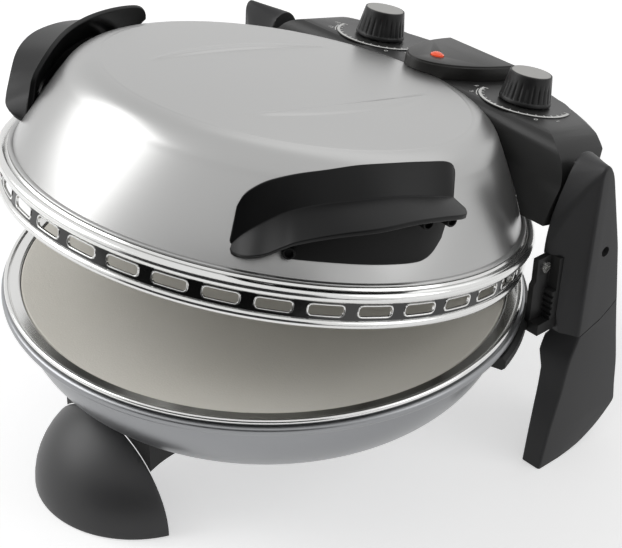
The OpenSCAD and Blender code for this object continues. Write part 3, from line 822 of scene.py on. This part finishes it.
# key, azimuth, radius and height above the lid's edge
SHIELD_TOP = [
    (39.5, 39.6, 152.5, 57), (40.5, 40.4, 151.4, 63), (42, 42, 149.6, 67.8), (45, 45, 147.3, 73),
    (50, 50, 145.2, 78), (56, 56, 143.6, 82), (64, 64, 141.2, 86), (74, 74, 140.4, 88), (81, 82, 141, 88.3),
    (84, 86.4, 141.4, 87.5), (85.3, 88.7, 141.7, 84.6), (86, 89.6, 142.2, 79.5),
]
GRIP_ROOT = [
    (39.5, 39.5, 153, 34), (42, 42, 153.5, 43.3), (46, 46, 152, 52.2), (50, 50, 150.5, 58.8),
    (56, 56, 150, 64.8), (62, 62, 150, 68.4), (72, 72, 150, 72.2), (80, 80.5, 150, 71.8), (86, 87.3, 150, 69.6),
]
GRIP_EDGE = [
    (39.5, 39.9, 154.6, 33.4), (41, 41.4, 161.5, 34.6), (43.5, 43.6, 167, 37), (46.5, 46.5, 169.2, 40.6),
    (49.5, 49.5, 170.6, 46.9), (52, 52, 172, 51.9), (58, 58, 175.8, 60), (65, 65, 177.6, 65.6),
    (72, 72, 175, 69.3), (78, 78.5, 172.4, 69.9), (83, 83, 170.6, 69.2), (85, 84.8, 167.8, 69),
    (86, 86.2, 162, 69),
]
PLATE_EDGE = [
    (50, 50.5, 155.6, 34.2), (60, 60, 155.4, 34.5), (70, 70, 155.4, 34.3), (78, 78, 155.3, 34.6),
    (81.5, 81.2, 154.7, 36), (84, 83.6, 153.2, 39.5), (86, 86, 150.9, 46),
]
HANDLE_T = 3.0
PLATE_T = 2.4
HANDLE_KEYS = (39.5, 86.0)
PLATE_KEYS = (50.0, 86.0)
# azimuth and height of the posts, the radius they start from, and their section
POSTS = [(51.1, 39.5), (78.2, 60.3), (84.0, 60.8)]
POST_START = 132.0
POST_TUBE = [(0.0, 0.0), (3.6, 0.0), (3.6, 28.3), (3.3, 28.9), (2.7, 29.0), (2.4, 28.7), (2.4, 26.4), (0.0, 26.4)]


def along(table, x):
    """Smooth point of a guide curve at a key: azimuth, radius and height."""
    last = len(table) - 1
    i = max(k for k in range(last) if x >= table[k][0] or k == 0)
    t = (x - table[i][0]) / (table[i + 1][0] - table[i][0])
    a, b, c, d = table[max(i - 1, 0)], table[i], table[i + 1], table[min(i + 2, last)]
    value = []
    for k in (1, 2, 3):
        value.append(
            b[k] + (c[k] - a[k]) * t / 2
            + (2 * a[k] - 5 * b[k] + 4 * c[k] - d[k]) * t * t / 2
            + (3 * b[k] - a[k] - 3 * c[k] + d[k]) * t ** 3 / 2
        )
    return Vector(value)


def unit_rh(start, end):
    """Unit direction between two guide points in radius and height."""
    d = Vector((end.y - start.y, end.z - start.z)).normalized()
    return d.x, d.y


def handle_section(key):
    """Closed section of a handle at one key: shield, root and grip with its thickness."""
    top, root, edge = along(SHIELD_TOP, key), along(GRIP_ROOT, key), along(GRIP_EDGE, key)
    ur, uh = unit_rh(root, top)
    vr, vh = unit_rh(root, edge)
    inward = Vector((0, -uh, ur)) * HANDLE_T
    under = Vector((0, vh, -vr)) * HANDLE_T
    return [top, root, edge, edge + under, root + inward + under, top + inward]


def plate_section(key):
    """Closed section of the plate between the grip and the dome wall."""
    low, root, edge = along(PLATE_EDGE, key), along(GRIP_ROOT, key), along(GRIP_EDGE, key)
    vr, vh = unit_rh(root, edge)
    top = root + Vector((0, vh * HANDLE_T, -vr * HANDLE_T - 0.6))
    deep = Vector((0, PLATE_T, 0))
    return [top, low, low - deep, top - deep]


def swept(name, section, keys, steps, width, segments):
    """Closed skin through sections with its corners rounded by a width in mm."""
    rows = []
    for i in range(steps + 1):
        rows.append([on_lid(*point) for point in section(keys[0] + (keys[1] - keys[0]) * i / steps)])
    maker = put_in_scene("maker", grid_mesh(name, rows))
    rounding(maker, width, segments, 32)
    mesh = evaluated_mesh(maker, name)
    finish_shading(mesh, 50)
    return mesh


class PIZZA_OT_handles(bpy.types.Operator):
    """Curved shields with wing grips, their back plates and the posts"""

    bl_idname = "pizza.handles"
    bl_label = "Handles"

    def execute(self, context):
        for name, mirror in (("left", -1), ("right", 1)):
            flip = TO_OPEN_LID @ Matrix.Diagonal((mirror, 1, 1, 1))
            mesh = swept("handle_wing_" + name, handle_section, HANDLE_KEYS, 110, 0.6, 3)
            wear(place_piece("handle_wing_" + name, mesh, flip, "lid", "handle_plastic", "handle_" + name), "handle")
            mesh = swept("plate_skin_" + name, plate_section, PLATE_KEYS, 60, 0.6, 2)
            piece = place_piece("plate_skin_" + name, mesh, flip, "lid", "handle_plastic", "handle_plate_" + name)
            wear(piece, "handle_inner")
        build = bmesh.new()
        for azimuth, height in POSTS:
            mesh = lathe_mesh("tube", POST_TUBE, 40)
            turn = Matrix.Rotation(math.radians(azimuth), 4, "Z") @ Matrix.Rotation(math.radians(90), 4, "X")
            mesh.transform(Matrix.Translation((0, 0, LID_Z + height)) @ turn @ Matrix.Translation((0, 0, POST_START)))
            build.from_mesh(mesh)
            mesh.transform(Matrix.Diagonal((-1, 1, 1, 1)))
            mesh.flip_normals()
            build.from_mesh(mesh)
        posts = mesh_of(build, "post_tubes")
        finish_shading(posts, 40)
        wear(place_piece("post_tubes", posts, TO_OPEN_LID, "lid", "handle_plastic", "handle_posts"), "handle_inner")
        return {"FINISHED"}


# ---- console and controls ----


class PIZZA_OT_console(bpy.types.Operator):
    """Console cover, plaque and pilot lens"""

    bl_idname = "pizza.console"
    bl_label = "Console"

    def execute(self, context):
        wear(soften("console_cover", 2.2, 4, 30, 38), "console")
        wear(soften("plaque", 0.9, 3, 30, 40), "plaque")
        lens = [(0.0, 207.4), (4.4, 207.4), (4.5, 209.0)] + arc((0.0, 207.6), 4.5, 3.0, 25, 85, 10)
        lens.append((0.0, 210.6))
        mesh = lathe_mesh("lens", lens, 48)
        place = TO_OPEN_LID @ Matrix.Translation((0, 133, 0))
        wear(place_piece("pilot_dome", mesh, place, "lid", "lens", "pilot_lens"), "lens")
        return {"FINISHED"}


KNOB_X, KNOB_Y, DIAL_TOP = 67.0, 148.0, 198.9
DISH_T = 0.6
DISH = [
    (5.0, 0.0), (30.5, 0.0), (30.5, 0.35), (30.2, DISH_T), (29.9, DISH_T), (28.4, 0.55), (18.0, 0.12), (5.0, 0.1),
]
PRINT_TOP = 0.68
PRINT_START, PRINT_END = 195, 385
TICKS = 17
TICK_LENGTH, TICK_HALF = 2.2, 0.3
NUMBER_SIZE, NUMBER_R = 4.6, 34.6
NUMBER_ANGLES = (-38, -12, 196, 222)


def band_arc(build, inner, outer, start, end, top, steps):
    """Flat printed arc between two angles in degrees, added to a build."""
    rows = []
    for i in range(steps + 1):
        a = math.radians(start + (end - start) * i / steps)
        section = ((inner, 0.0), (outer, 0.0), (outer, top), (inner, top))
        rows.append([build.verts.new((radius * math.cos(a), radius * math.sin(a), z)) for radius, z in section])
    join_rings(build, zip(rows, rows[1:]))
    build.faces.new(rows[0])
    build.faces.new(reversed(rows[-1]))


def numeral_mesh(number, size):
    """A plain number as a flat mesh standing on the origin."""
    curve = bpy.data.curves.new("numeral", "FONT")
    curve.body = number
    curve.size = size
    curve.extrude = 0.05
    curve.align_x = "CENTER"
    curve.align_y = "CENTER"
    return evaluated_mesh(put_in_scene("maker", curve), "numeral")


class PIZZA_OT_dials(bpy.types.Operator):
    """Dished dial rings with a printed arc, ticks and plain numbers"""

    bl_idname = "pizza.dials"
    bl_label = "Dials"

    def execute(self, context):
        inner = context.scene.pizza_controls.tick_radius
        for side, name, node, numbers in (
            (-1, "timer", "dial_left", ("0", "5", "10", "15")),
            (1, "thermostat", "dial_right", ("0", "1", "2", "3")),
        ):
            place = TO_OPEN_LID @ Matrix.Translation((side * KNOB_X, KNOB_Y, DIAL_TOP - DISH_T))
            mesh = lathe_mesh(name + "_dish", DISH, 120)
            wear(place_piece(name + "_dish", mesh, place, "lid", "dial_print", node), "dish")
            build = bmesh.new()
            band_arc(build, 28.3, 30.2, PRINT_START, PRINT_END, PRINT_TOP, 96)
            band_arc(build, 31.1, 31.7, 205, 232, 0.1, 16)
            tick = box_mesh("tick", (inner, -TICK_HALF, 0.5), (inner + TICK_LENGTH, TICK_HALF, PRINT_TOP))
            step = (PRINT_END - PRINT_START) / (TICKS - 1)
            build.from_mesh(repeat_round(tick, TICKS, PRINT_START, step, FINISHES["ink"]))
            for number, angle in zip(numbers, NUMBER_ANGLES):
                a = math.radians(angle)
                numeral = numeral_mesh(number, NUMBER_SIZE)
                numeral.transform(Matrix.Translation((NUMBER_R * math.cos(a), NUMBER_R * math.sin(a), 0.05)))
                build.from_mesh(numeral)
            bmesh.ops.recalc_face_normals(build, faces=build.faces)
            mesh = mesh_of(build, name + "_scale")
            wear(place_piece(name + "_scale", mesh, place, "lid", "dial_print"), "ink")
        return {"FINISHED"}


KNOB_TAPER = 14 / 17
RIB_DEPTH = 0.5


def knob_mesh(name, radius, height, ribs):
    """Cone with soft ribs that fade toward the top, a plain foot ring and a recess for the cap."""
    top = radius * KNOB_TAPER
    profile = [(0.0, 0.4), (radius - 0.5, 0.4), (radius, 0.9), (radius, 2.6), (radius - 0.35, 3.1)]
    first = len(profile)
    for i in range(21):
        t = i / 20
        profile.append((radius - 0.4 + (top - radius + 0.2) * t, 3.3 + (height - 4.1) * t))
    last = len(profile) - 1
    profile += [(top - 0.35, height - 0.25), (top - 0.7, height), (top - 1.0, height), (top - 1.15, height - 0.6),
                (0.0, height - 0.6)]

    def relief(index, angle, r, z):
        if not first <= index <= last:
            return r, z
        share = (index - first) / (last - first)
        fade = min(1.0, max(0.0, (0.8 - share) / 0.3))
        groove = math.exp(-((((angle * ribs / (2 * math.pi)) % 1.0) - 0.5) / 0.16) ** 2)
        return r - RIB_DEPTH * fade * groove, z

    return lathe_mesh(name, profile, ribs * 10, relief, 40)


class PIZZA_OT_knobs(bpy.types.Operator):
    """Fluted knobs with satin caps"""

    bl_idname = "pizza.knobs"
    bl_label = "Knobs"

    def execute(self, context):
        sizes = context.scene.pizza_controls
        top = sizes.knob_radius * KNOB_TAPER
        for side, name in ((-1, "timer"), (1, "thermostat")):
            body = name + "_dial"
            place = TO_OPEN_LID @ Matrix.Translation((side * KNOB_X, KNOB_Y, DIAL_TOP))
            mesh = knob_mesh(name + "_grip", sizes.knob_radius, sizes.knob_height + 0.4, sizes.ribs)
            piece = place_piece(name + "_grip", mesh, place, body, "knob_plastic", name + "_knob")
            wear(piece, "knob")
            z = sizes.knob_height - 0.2
            cap = [(0.0, z), (top - 1.2, z), (top - 1.2, z + 0.45), (top - 1.5, z + 0.75), (0.0, z + 0.8)]
            mesh = lathe_mesh(name + "_disc", cap, 64)
            piece = place_piece(name + "_disc", mesh, place, body, "cap_silver", name + "_cap")
            wear(piece, "cap")
        return {"FINISHED"}


# side outlines of leg and arm as distance behind the bowl axis and height
SEAM = [(118.5, 93), (128, 96), (138, 99), (147, 104), (154, 109)]
SEAM_GAP = 0.7
ARM_OUTER = [
    (116.9, 60), (118.5, 93), (119.6, 125), (120, 165), (120, 203), (120.7, 208.5), (122.5, 211.5), (125, 212.4),
    (127.5, 211.2), (130, 208), (132.4, 203), (135, 194), (141, 171), (147, 148), (154, 109), (163, 60),
]
ARM_INNER = [
    (119, 60), (116, 93), (110.5, 122), (106.5, 148), (108.5, 167), (113.5, 181), (119, 192), (124, 201),
    (129, 206.5), (135, 208.5), (141, 206.5), (145.5, 201), (148.5, 190), (150, 165), (151.5, 135), (152, 109),
    (153, 60),
]
LEG_FRONT = [(95, 0), (101, 30), (107, 53), (112, 77), (118.5, 93), (124, 116)]
LEG_REAR = [
    (116, 0), (126, 1), (136, 3), (146, 7), (155, 12), (165.6, 20.4), (168, 23.5), (167.6, 28), (166, 39),
    (164, 57), (159, 82), (154, 109), (153, 116),
]
LEG_INSIDE = [(150, 0), (148, 30), (146, 50), (144.5, 65), (140, 75), (140, 85), (142, 88), (142, 116)]
ARM_SPINE = [(138, 60), (126.2, 206)]
ARM_IN, ARM_OUT = 138.0, 165.0
EDGE_R = 1.8
ARM_BACK_R = 1.2
LEG_BACK_R = 2.0
LEG_LEVELS = [
    0.0, 0.3, 0.7, 1.0, 1.5, 2.2, 3.0, 4.0, 5.4, 7.0, 8.8, 10.4, 12.0, 14.0, 16.0, 18.0, 20.0, 21.2, 22.4, 23.5,
    25.0, 27.0, 30.0,
]


def spline(points, steps=8):
    """Smooth open row through points, even with uneven gaps."""
    p = [Vector(q) for q in points]
    t = [0.0]
    for a, b in zip(p, p[1:]):
        t.append(t[-1] + (b - a).length)
    last = len(p) - 1
    slope = []
    for i in range(last + 1):
        before, after = max(i - 1, 0), min(i + 1, last)
        slope.append((p[after] - p[before]) / (t[after] - t[before]))
    row = []
    for i in range(last):
        h = t[i + 1] - t[i]
        for k in range(steps):
            u = k / steps
            row.append(
                p[i] * (2 * u ** 3 - 3 * u ** 2 + 1) + slope[i] * (h * (u ** 3 - 2 * u ** 2 + u))
                + p[i + 1] * (3 * u ** 2 - 2 * u ** 3) + slope[i + 1] * (h * (u ** 3 - u ** 2))
            )
    return row + [p[-1]]


def across(row, height):
    """First coordinate of a row of (value, height) at a height."""
    for a, b in zip(row, row[1:]):
        if a[1] <= height <= b[1] and b[1] > a[1]:
            return a[0] + (b[0] - a[0]) * (height - a[1]) / (b[1] - a[1])
    return row[-1][0]


def nearest(point, line):
    """Nearest point of a line piece between two points."""
    a, b = Vector(line[0]), Vector(line[1])
    t = (point - a).dot(b - a) / (b - a).length_squared
    return a.lerp(b, min(1.0, max(0.0, t)))


def prism(name, outline, x0, x1):
    """Closed prism of an outline in Y and Z between two X planes."""
    return grid_mesh(name, [[(x, y, z) for y, z in outline] for x in (x0, x1)])


def cut(mesh, *cutters):
    """Mesh less the cutters' meshes."""
    maker = put_in_scene("maker", mesh)
    tools = []
    for cutter in cutters:
        tool = put_in_scene("cutter", cutter)
        tools.append(tool)
        modifier = maker.modifiers.new("Cut", "BOOLEAN")
        modifier.operation = "DIFFERENCE"
        modifier.solver = "EXACT"
        modifier.use_self = True
        modifier.object = tool
    result = evaluated_mesh(maker, mesh.name)
    for tool in tools:
        bpy.data.objects.remove(tool)
    return result


def arm_mesh(name):
    """Arm cover: a loft from the rounded inner outline to the slim outer one."""
    outer, inner = spline(ARM_OUTER), spline(ARM_INNER)
    edge = ARM_OUT - ARM_IN - EDGE_R
    spots = [0.0, 0.5, 1.2, 2.0] + [2.0 + (edge - 2.0) * i / 16 for i in range(1, 17)]
    spots += [edge + EDGE_R * math.sin(math.radians(a)) for a in (15, 30, 45, 60, 75, 90)]
    rows = []
    for spot in spots:
        share = soft_step(spot, -1.0, edge) * 0.35 + 0.65 * min(1.0, max(0.0, (spot - 2.0) / (edge - 2.0)))
        depth = spot - edge
        inset = EDGE_R - math.sqrt(max(0.0, EDGE_R ** 2 - depth ** 2)) if depth > 0 else 0.0
        if spot < ARM_BACK_R:
            inset = ARM_BACK_R - math.sqrt(ARM_BACK_R ** 2 - (ARM_BACK_R - spot) ** 2)
        row = []
        for k in range(133):
            a = math.radians(195.0 - 200.0 * k / 132)
            n = Vector((math.cos(a), math.sin(a)))
            first = max(inner, key=lambda q: q.dot(n))
            second = max(outer, key=lambda q: q.dot(n))
            point = first.lerp(second, share)
            inward = nearest(point, ARM_SPINE) - point
            point += inward.normalized() * min(inset, inward.length - 0.4)
            row.append((ARM_IN + spot, point.x, point.y))
        rows.append(row)
    mesh = grid_mesh(name, rows)
    weld(mesh, 1e-3)
    below = [(y, z + SEAM_GAP) for y, z in SEAM] + [(190, 132), (190, 40), (80, 40), (80, 93 + SEAM_GAP)]
    hole = lathe_mesh("hole", [(0.0, 0.0), (3.4, 0.0), (3.4, 8.0), (0.0, 8.0)], 40)
    hole.transform(Matrix.Translation((159, 133, 151)) @ Matrix.Rotation(math.radians(90), 4, "Y"))
    notch = box_mesh("notch", (130, 90, 104.7), (150.3, 113.3, 148.3))
    return cut(mesh, prism("below", below, 120, 180), notch, hole)


def leg_mesh(name):
    """Leg: rounded sections from the sole up to the slanting seam."""
    front, rear, inside = spline(LEG_FRONT), spline(LEG_REAR, 10), LEG_INSIDE
    levels = LEG_LEVELS + [30 + 2.5 * i for i in range(1, 35)]
    rows = []
    for z in levels:
        x0, y0, y1 = across(inside, z), across(front, z), across(rear, z)
        row = []
        for cx, cy, sx, sy, radius, start in (
            (ARM_OUT, y1, -1, -1, EDGE_R, 0),
            (x0, y1, 1, -1, LEG_BACK_R, 90),
            (x0, y0, 1, 1, LEG_BACK_R, 180),
            (ARM_OUT, y0, -1, 1, EDGE_R, 270),
        ):
            for x, y in arc((cx + sx * radius, cy + sy * radius), radius, radius, start, start + 90, 6):
                row.append((x, y, z))
        rows.append(row)
    mesh = grid_mesh(name, rows)
    above = [(80, 93)] + SEAM + [(190, 134.7), (190, 150), (80, 150)]
    return cut(mesh, prism("above", above, 120, 180))


class PIZZA_OT_legs(bpy.types.Operator):
    """Legs and arm covers with soft edges, and the brackets"""

    bl_idname = "pizza.legs"
    bl_label = "Legs"

    def execute(self, context):
        for side, mirror in (("left", -1), ("right", 1)):
            flip = TO_ROW @ Matrix.Diagonal((mirror, 1, 1, 1))
            for part, maker in (("leg", leg_mesh), ("arm_cover", arm_mesh)):
                node = part + "_" + side
                mesh = maker(node + "_form")
                finish_shading(mesh, 32)
                wear(place_piece(node + "_form", mesh, flip, "base", "leg_plastic", node), "leg")
            wear(soften("bracket_" + side, 0.5, 3, 24, 36), "black")
        return {"FINISHED"}


class PIZZA_OT_frame_finishes(bpy.types.Operator):
    """Finishes on every frame node that shows as it is"""

    bl_idname = "pizza.frame_finishes"
    bl_label = "Frame finishes"

    def execute(self, context):
        for node, finish in NODE_FINISH.items():
            thing = FRAME["nodes"][node]
            thing.data.materials.clear()
            thing.data.materials.append(FINISHES[finish])
        return {"FINISHED"}


# ---- stage ----


def glow_sheet(name, location, target, size, energy):
    """Soft square lamp aimed at a point."""
    data = bpy.data.lights.new(name, "AREA")
    data.shape = "RECTANGLE"
    data.size, data.size_y = size
    data.energy = energy
    lamp = put_in_scene(name, data)
    lamp.location = location
    lamp.rotation_euler = (Vector(target) - Vector(location)).to_track_quat("-Z", "Y").to_euler()


PHOTO_WIDTH = 622.0
FOCAL_PIXELS = 1545.0
SENSOR = 36.0
VIEW_AZIMUTH, VIEW_ELEVATION, VIEW_ROLL = math.radians(49.16), math.radians(31.35), math.radians(1.88)
VIEW_PAN, VIEW_TILT = 0.030, -0.010
VIEW_DISTANCE = 989.6
VIEW_CENTRE = (0, -CENTRE_Y, 120)


def camera_matrix():
    """Camera of the photograph: azimuth, elevation, distance, small pan, tilt and roll."""
    a, e = VIEW_AZIMUTH, VIEW_ELEVATION
    ahead = Vector((-math.sin(a) * math.cos(e), math.cos(a) * math.cos(e), -math.sin(e)))
    side = Vector((math.cos(a), math.sin(a), 0))
    eye = ahead * -VIEW_DISTANCE + Vector(VIEW_CENTRE)
    look = (ahead + side * VIEW_PAN + side.cross(ahead) * VIEW_TILT).normalized()
    side = look.cross(Vector((0, 0, 1))).normalized()
    up = side.cross(look)
    right = side * math.cos(VIEW_ROLL) + up * math.sin(VIEW_ROLL)
    top = up * math.cos(VIEW_ROLL) - side * math.sin(VIEW_ROLL)
    turn = Matrix((right, top, -look)).transposed().to_4x4()
    return Matrix.Translation(eye * MM) @ turn


def ray_is(tree, *kinds):
    """Socket that is one for the given kinds of ray."""
    path = tree.nodes.new("ShaderNodeLightPath")
    socket = path.outputs[kinds[0]]
    for kind in kinds[1:]:
        either = tree.nodes.new("ShaderNodeMath")
        either.operation = "MAXIMUM"
        tree.links.new(socket, either.inputs[0])
        tree.links.new(path.outputs[kind], either.inputs[1])
        socket = either.outputs[0]
    return socket


def floor_paint():
    """Pale matt paint with a little glow of its own where the camera or a reflection sees it."""
    paint = bpy.data.materials.new("Pale floor")
    paint.use_nodes = True
    tree = paint.node_tree
    tree.nodes.clear()
    out = tree.nodes.new("ShaderNodeOutputMaterial")
    both = tree.nodes.new("ShaderNodeAddShader")
    matt = tree.nodes.new("ShaderNodeBsdfDiffuse")
    matt.inputs["Color"].default_value = (0.8, 0.8, 0.8, 1)
    glow = tree.nodes.new("ShaderNodeEmission")
    share = tree.nodes.new("ShaderNodeMath")
    share.operation = "MULTIPLY"
    share.inputs[1].default_value = 0.5
    tree.links.new(ray_is(tree, "Is Camera Ray", "Is Glossy Ray"), share.inputs[0])
    tree.links.new(share.outputs[0], glow.inputs["Strength"])
    tree.links.new(matt.outputs[0], both.inputs[0])
    tree.links.new(glow.outputs[0], both.inputs[1])
    tree.links.new(both.outputs[0], out.inputs[0])
    return paint


def plain_sky():
    """World that lights the scene dimly and looks white to the camera and in reflections."""
    world = bpy.data.worlds.new("Sky")
    world.use_nodes = True
    tree = world.node_tree
    tree.nodes.clear()
    out = tree.nodes.new("ShaderNodeOutputWorld")
    mix = tree.nodes.new("ShaderNodeMixShader")
    tree.links.new(ray_is(tree, "Is Camera Ray", "Is Transmission Ray", "Is Glossy Ray"), mix.inputs[0])
    for place, strength in ((1, 0.38), (2, 1.0)):
        sky = tree.nodes.new("ShaderNodeBackground")
        sky.inputs["Color"].default_value = (1, 1, 1, 1)
        sky.inputs["Strength"].default_value = strength
        tree.links.new(sky.outputs[0], mix.inputs[place])
    tree.links.new(mix.outputs[0], out.inputs[0])
    return world


def dark_card():
    """Black card beside the camera's view, there only for reflections."""
    build = bmesh.new()
    edges = ((0.0, 1.15), (0.0, 0.0), (1.15, -0.012))
    rows = [[build.verts.new((x, y, z)) for x in (-1.9, 1.1)] for y, z in edges]
    for low, high in zip(rows, rows[1:]):
        build.faces.new((low[0], low[1], high[1], high[0]))
    card = put_in_scene("dark_card", mesh_of(build, "dark_card"))
    card.location = (1.15, -1.3, 0.02)
    card.rotation_euler = (0, 0, math.radians(41))
    card.visible_camera = False
    card.visible_diffuse = False
    card.visible_shadow = False
    black = bpy.data.materials.new("Black cloth")
    black.use_nodes = True
    shader = black.node_tree.nodes["Principled BSDF"]
    shader.inputs["Base Color"].default_value = (0.02, 0.02, 0.02, 1)
    shader.inputs["Roughness"].default_value = 0.9
    card.data.materials.append(black)


class PIZZA_OT_stage(bpy.types.Operator):
    """Pale floor, soft lamps, plain sky and the camera"""

    bl_idname = "pizza.stage"
    bl_label = "Stage"

    def execute(self, context):
        scene = context.scene
        scene.view_settings.view_transform = "Standard"
        camera = bpy.data.cameras.new("Camera")
        camera.sensor_width = SENSOR
        camera.lens = FOCAL_PIXELS / PHOTO_WIDTH * SENSOR
        camera.clip_end = 50
        eye = put_in_scene("Camera", camera)
        eye.matrix_world = camera_matrix()
        scene.camera = eye
        build = bmesh.new()
        bmesh.ops.create_circle(build, cap_ends=True, segments=96, radius=9.0)
        floor = put_in_scene("floor", mesh_of(build, "floor"))
        floor.location = (0, 0, -0.0004)
        floor.data.materials.append(floor_paint())
        scene.world = plain_sky()
        dark_card()
        glow_sheet("Key lamp", (-1.5, -1.2, 1.5), (0, -0.03, 0.12), (1.8, 1.6), 28)
        glow_sheet("Side lamp", (1.6, 0.9, 1.3), (0, 0, 0.12), (1.0, 1.2), 6)
        glow_sheet("Back lamp", (-0.4, 1.6, 1.7), (0, 0, 0.15), (2.0, 1.2), 3)
        return {"FINISHED"}


# ---- panel and run ----


class PIZZA_PT_panel(bpy.types.Panel):
    """Pieces of the pizza maker"""

    bl_label = "Pizza maker"
    bl_idname = "PIZZA_PT_panel"
    bl_space_type = "VIEW_3D"
    bl_region_type = "UI"
    bl_category = "Pizza maker"

    def draw(self, context):
        column = self.layout.column()
        for group in (context.scene.pizza_body, context.scene.pizza_controls, context.scene.pizza_colours):
            for name in group.__annotations__:
                column.prop(group, name)
        for piece in PIECES:
            column.operator(piece.bl_idname)


PIECES = (
    PIZZA_OT_bowl,
    PIZZA_OT_dome,
    PIZZA_OT_band,
    PIZZA_OT_handles,
    PIZZA_OT_console,
    PIZZA_OT_dials,
    PIZZA_OT_knobs,
    PIZZA_OT_legs,
    PIZZA_OT_foot,
    PIZZA_OT_frame_finishes,
    PIZZA_OT_stage,
)
CLASSES = (BodySizes, ControlSizes, BodyColours, *PIECES, PIZZA_PT_panel)


def register():
    for item in CLASSES:
        bpy.utils.register_class(item)
    bpy.types.Scene.pizza_body = PointerProperty(type=BodySizes)
    bpy.types.Scene.pizza_controls = PointerProperty(type=ControlSizes)
    bpy.types.Scene.pizza_colours = PointerProperty(type=BodyColours)


def unregister():
    del bpy.types.Scene.pizza_colours
    del bpy.types.Scene.pizza_controls
    del bpy.types.Scene.pizza_body
    for item in reversed(CLASSES):
        bpy.utils.unregister_class(item)


def main():
    """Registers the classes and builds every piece."""
    register()
    FINISHES.update(make_finishes(bpy.context.scene.pizza_colours))
    for piece in PIECES:
        group, name = piece.bl_idname.split(".")
        getattr(getattr(bpy.ops, group), name)()


if __name__ == "__main__":
    main()
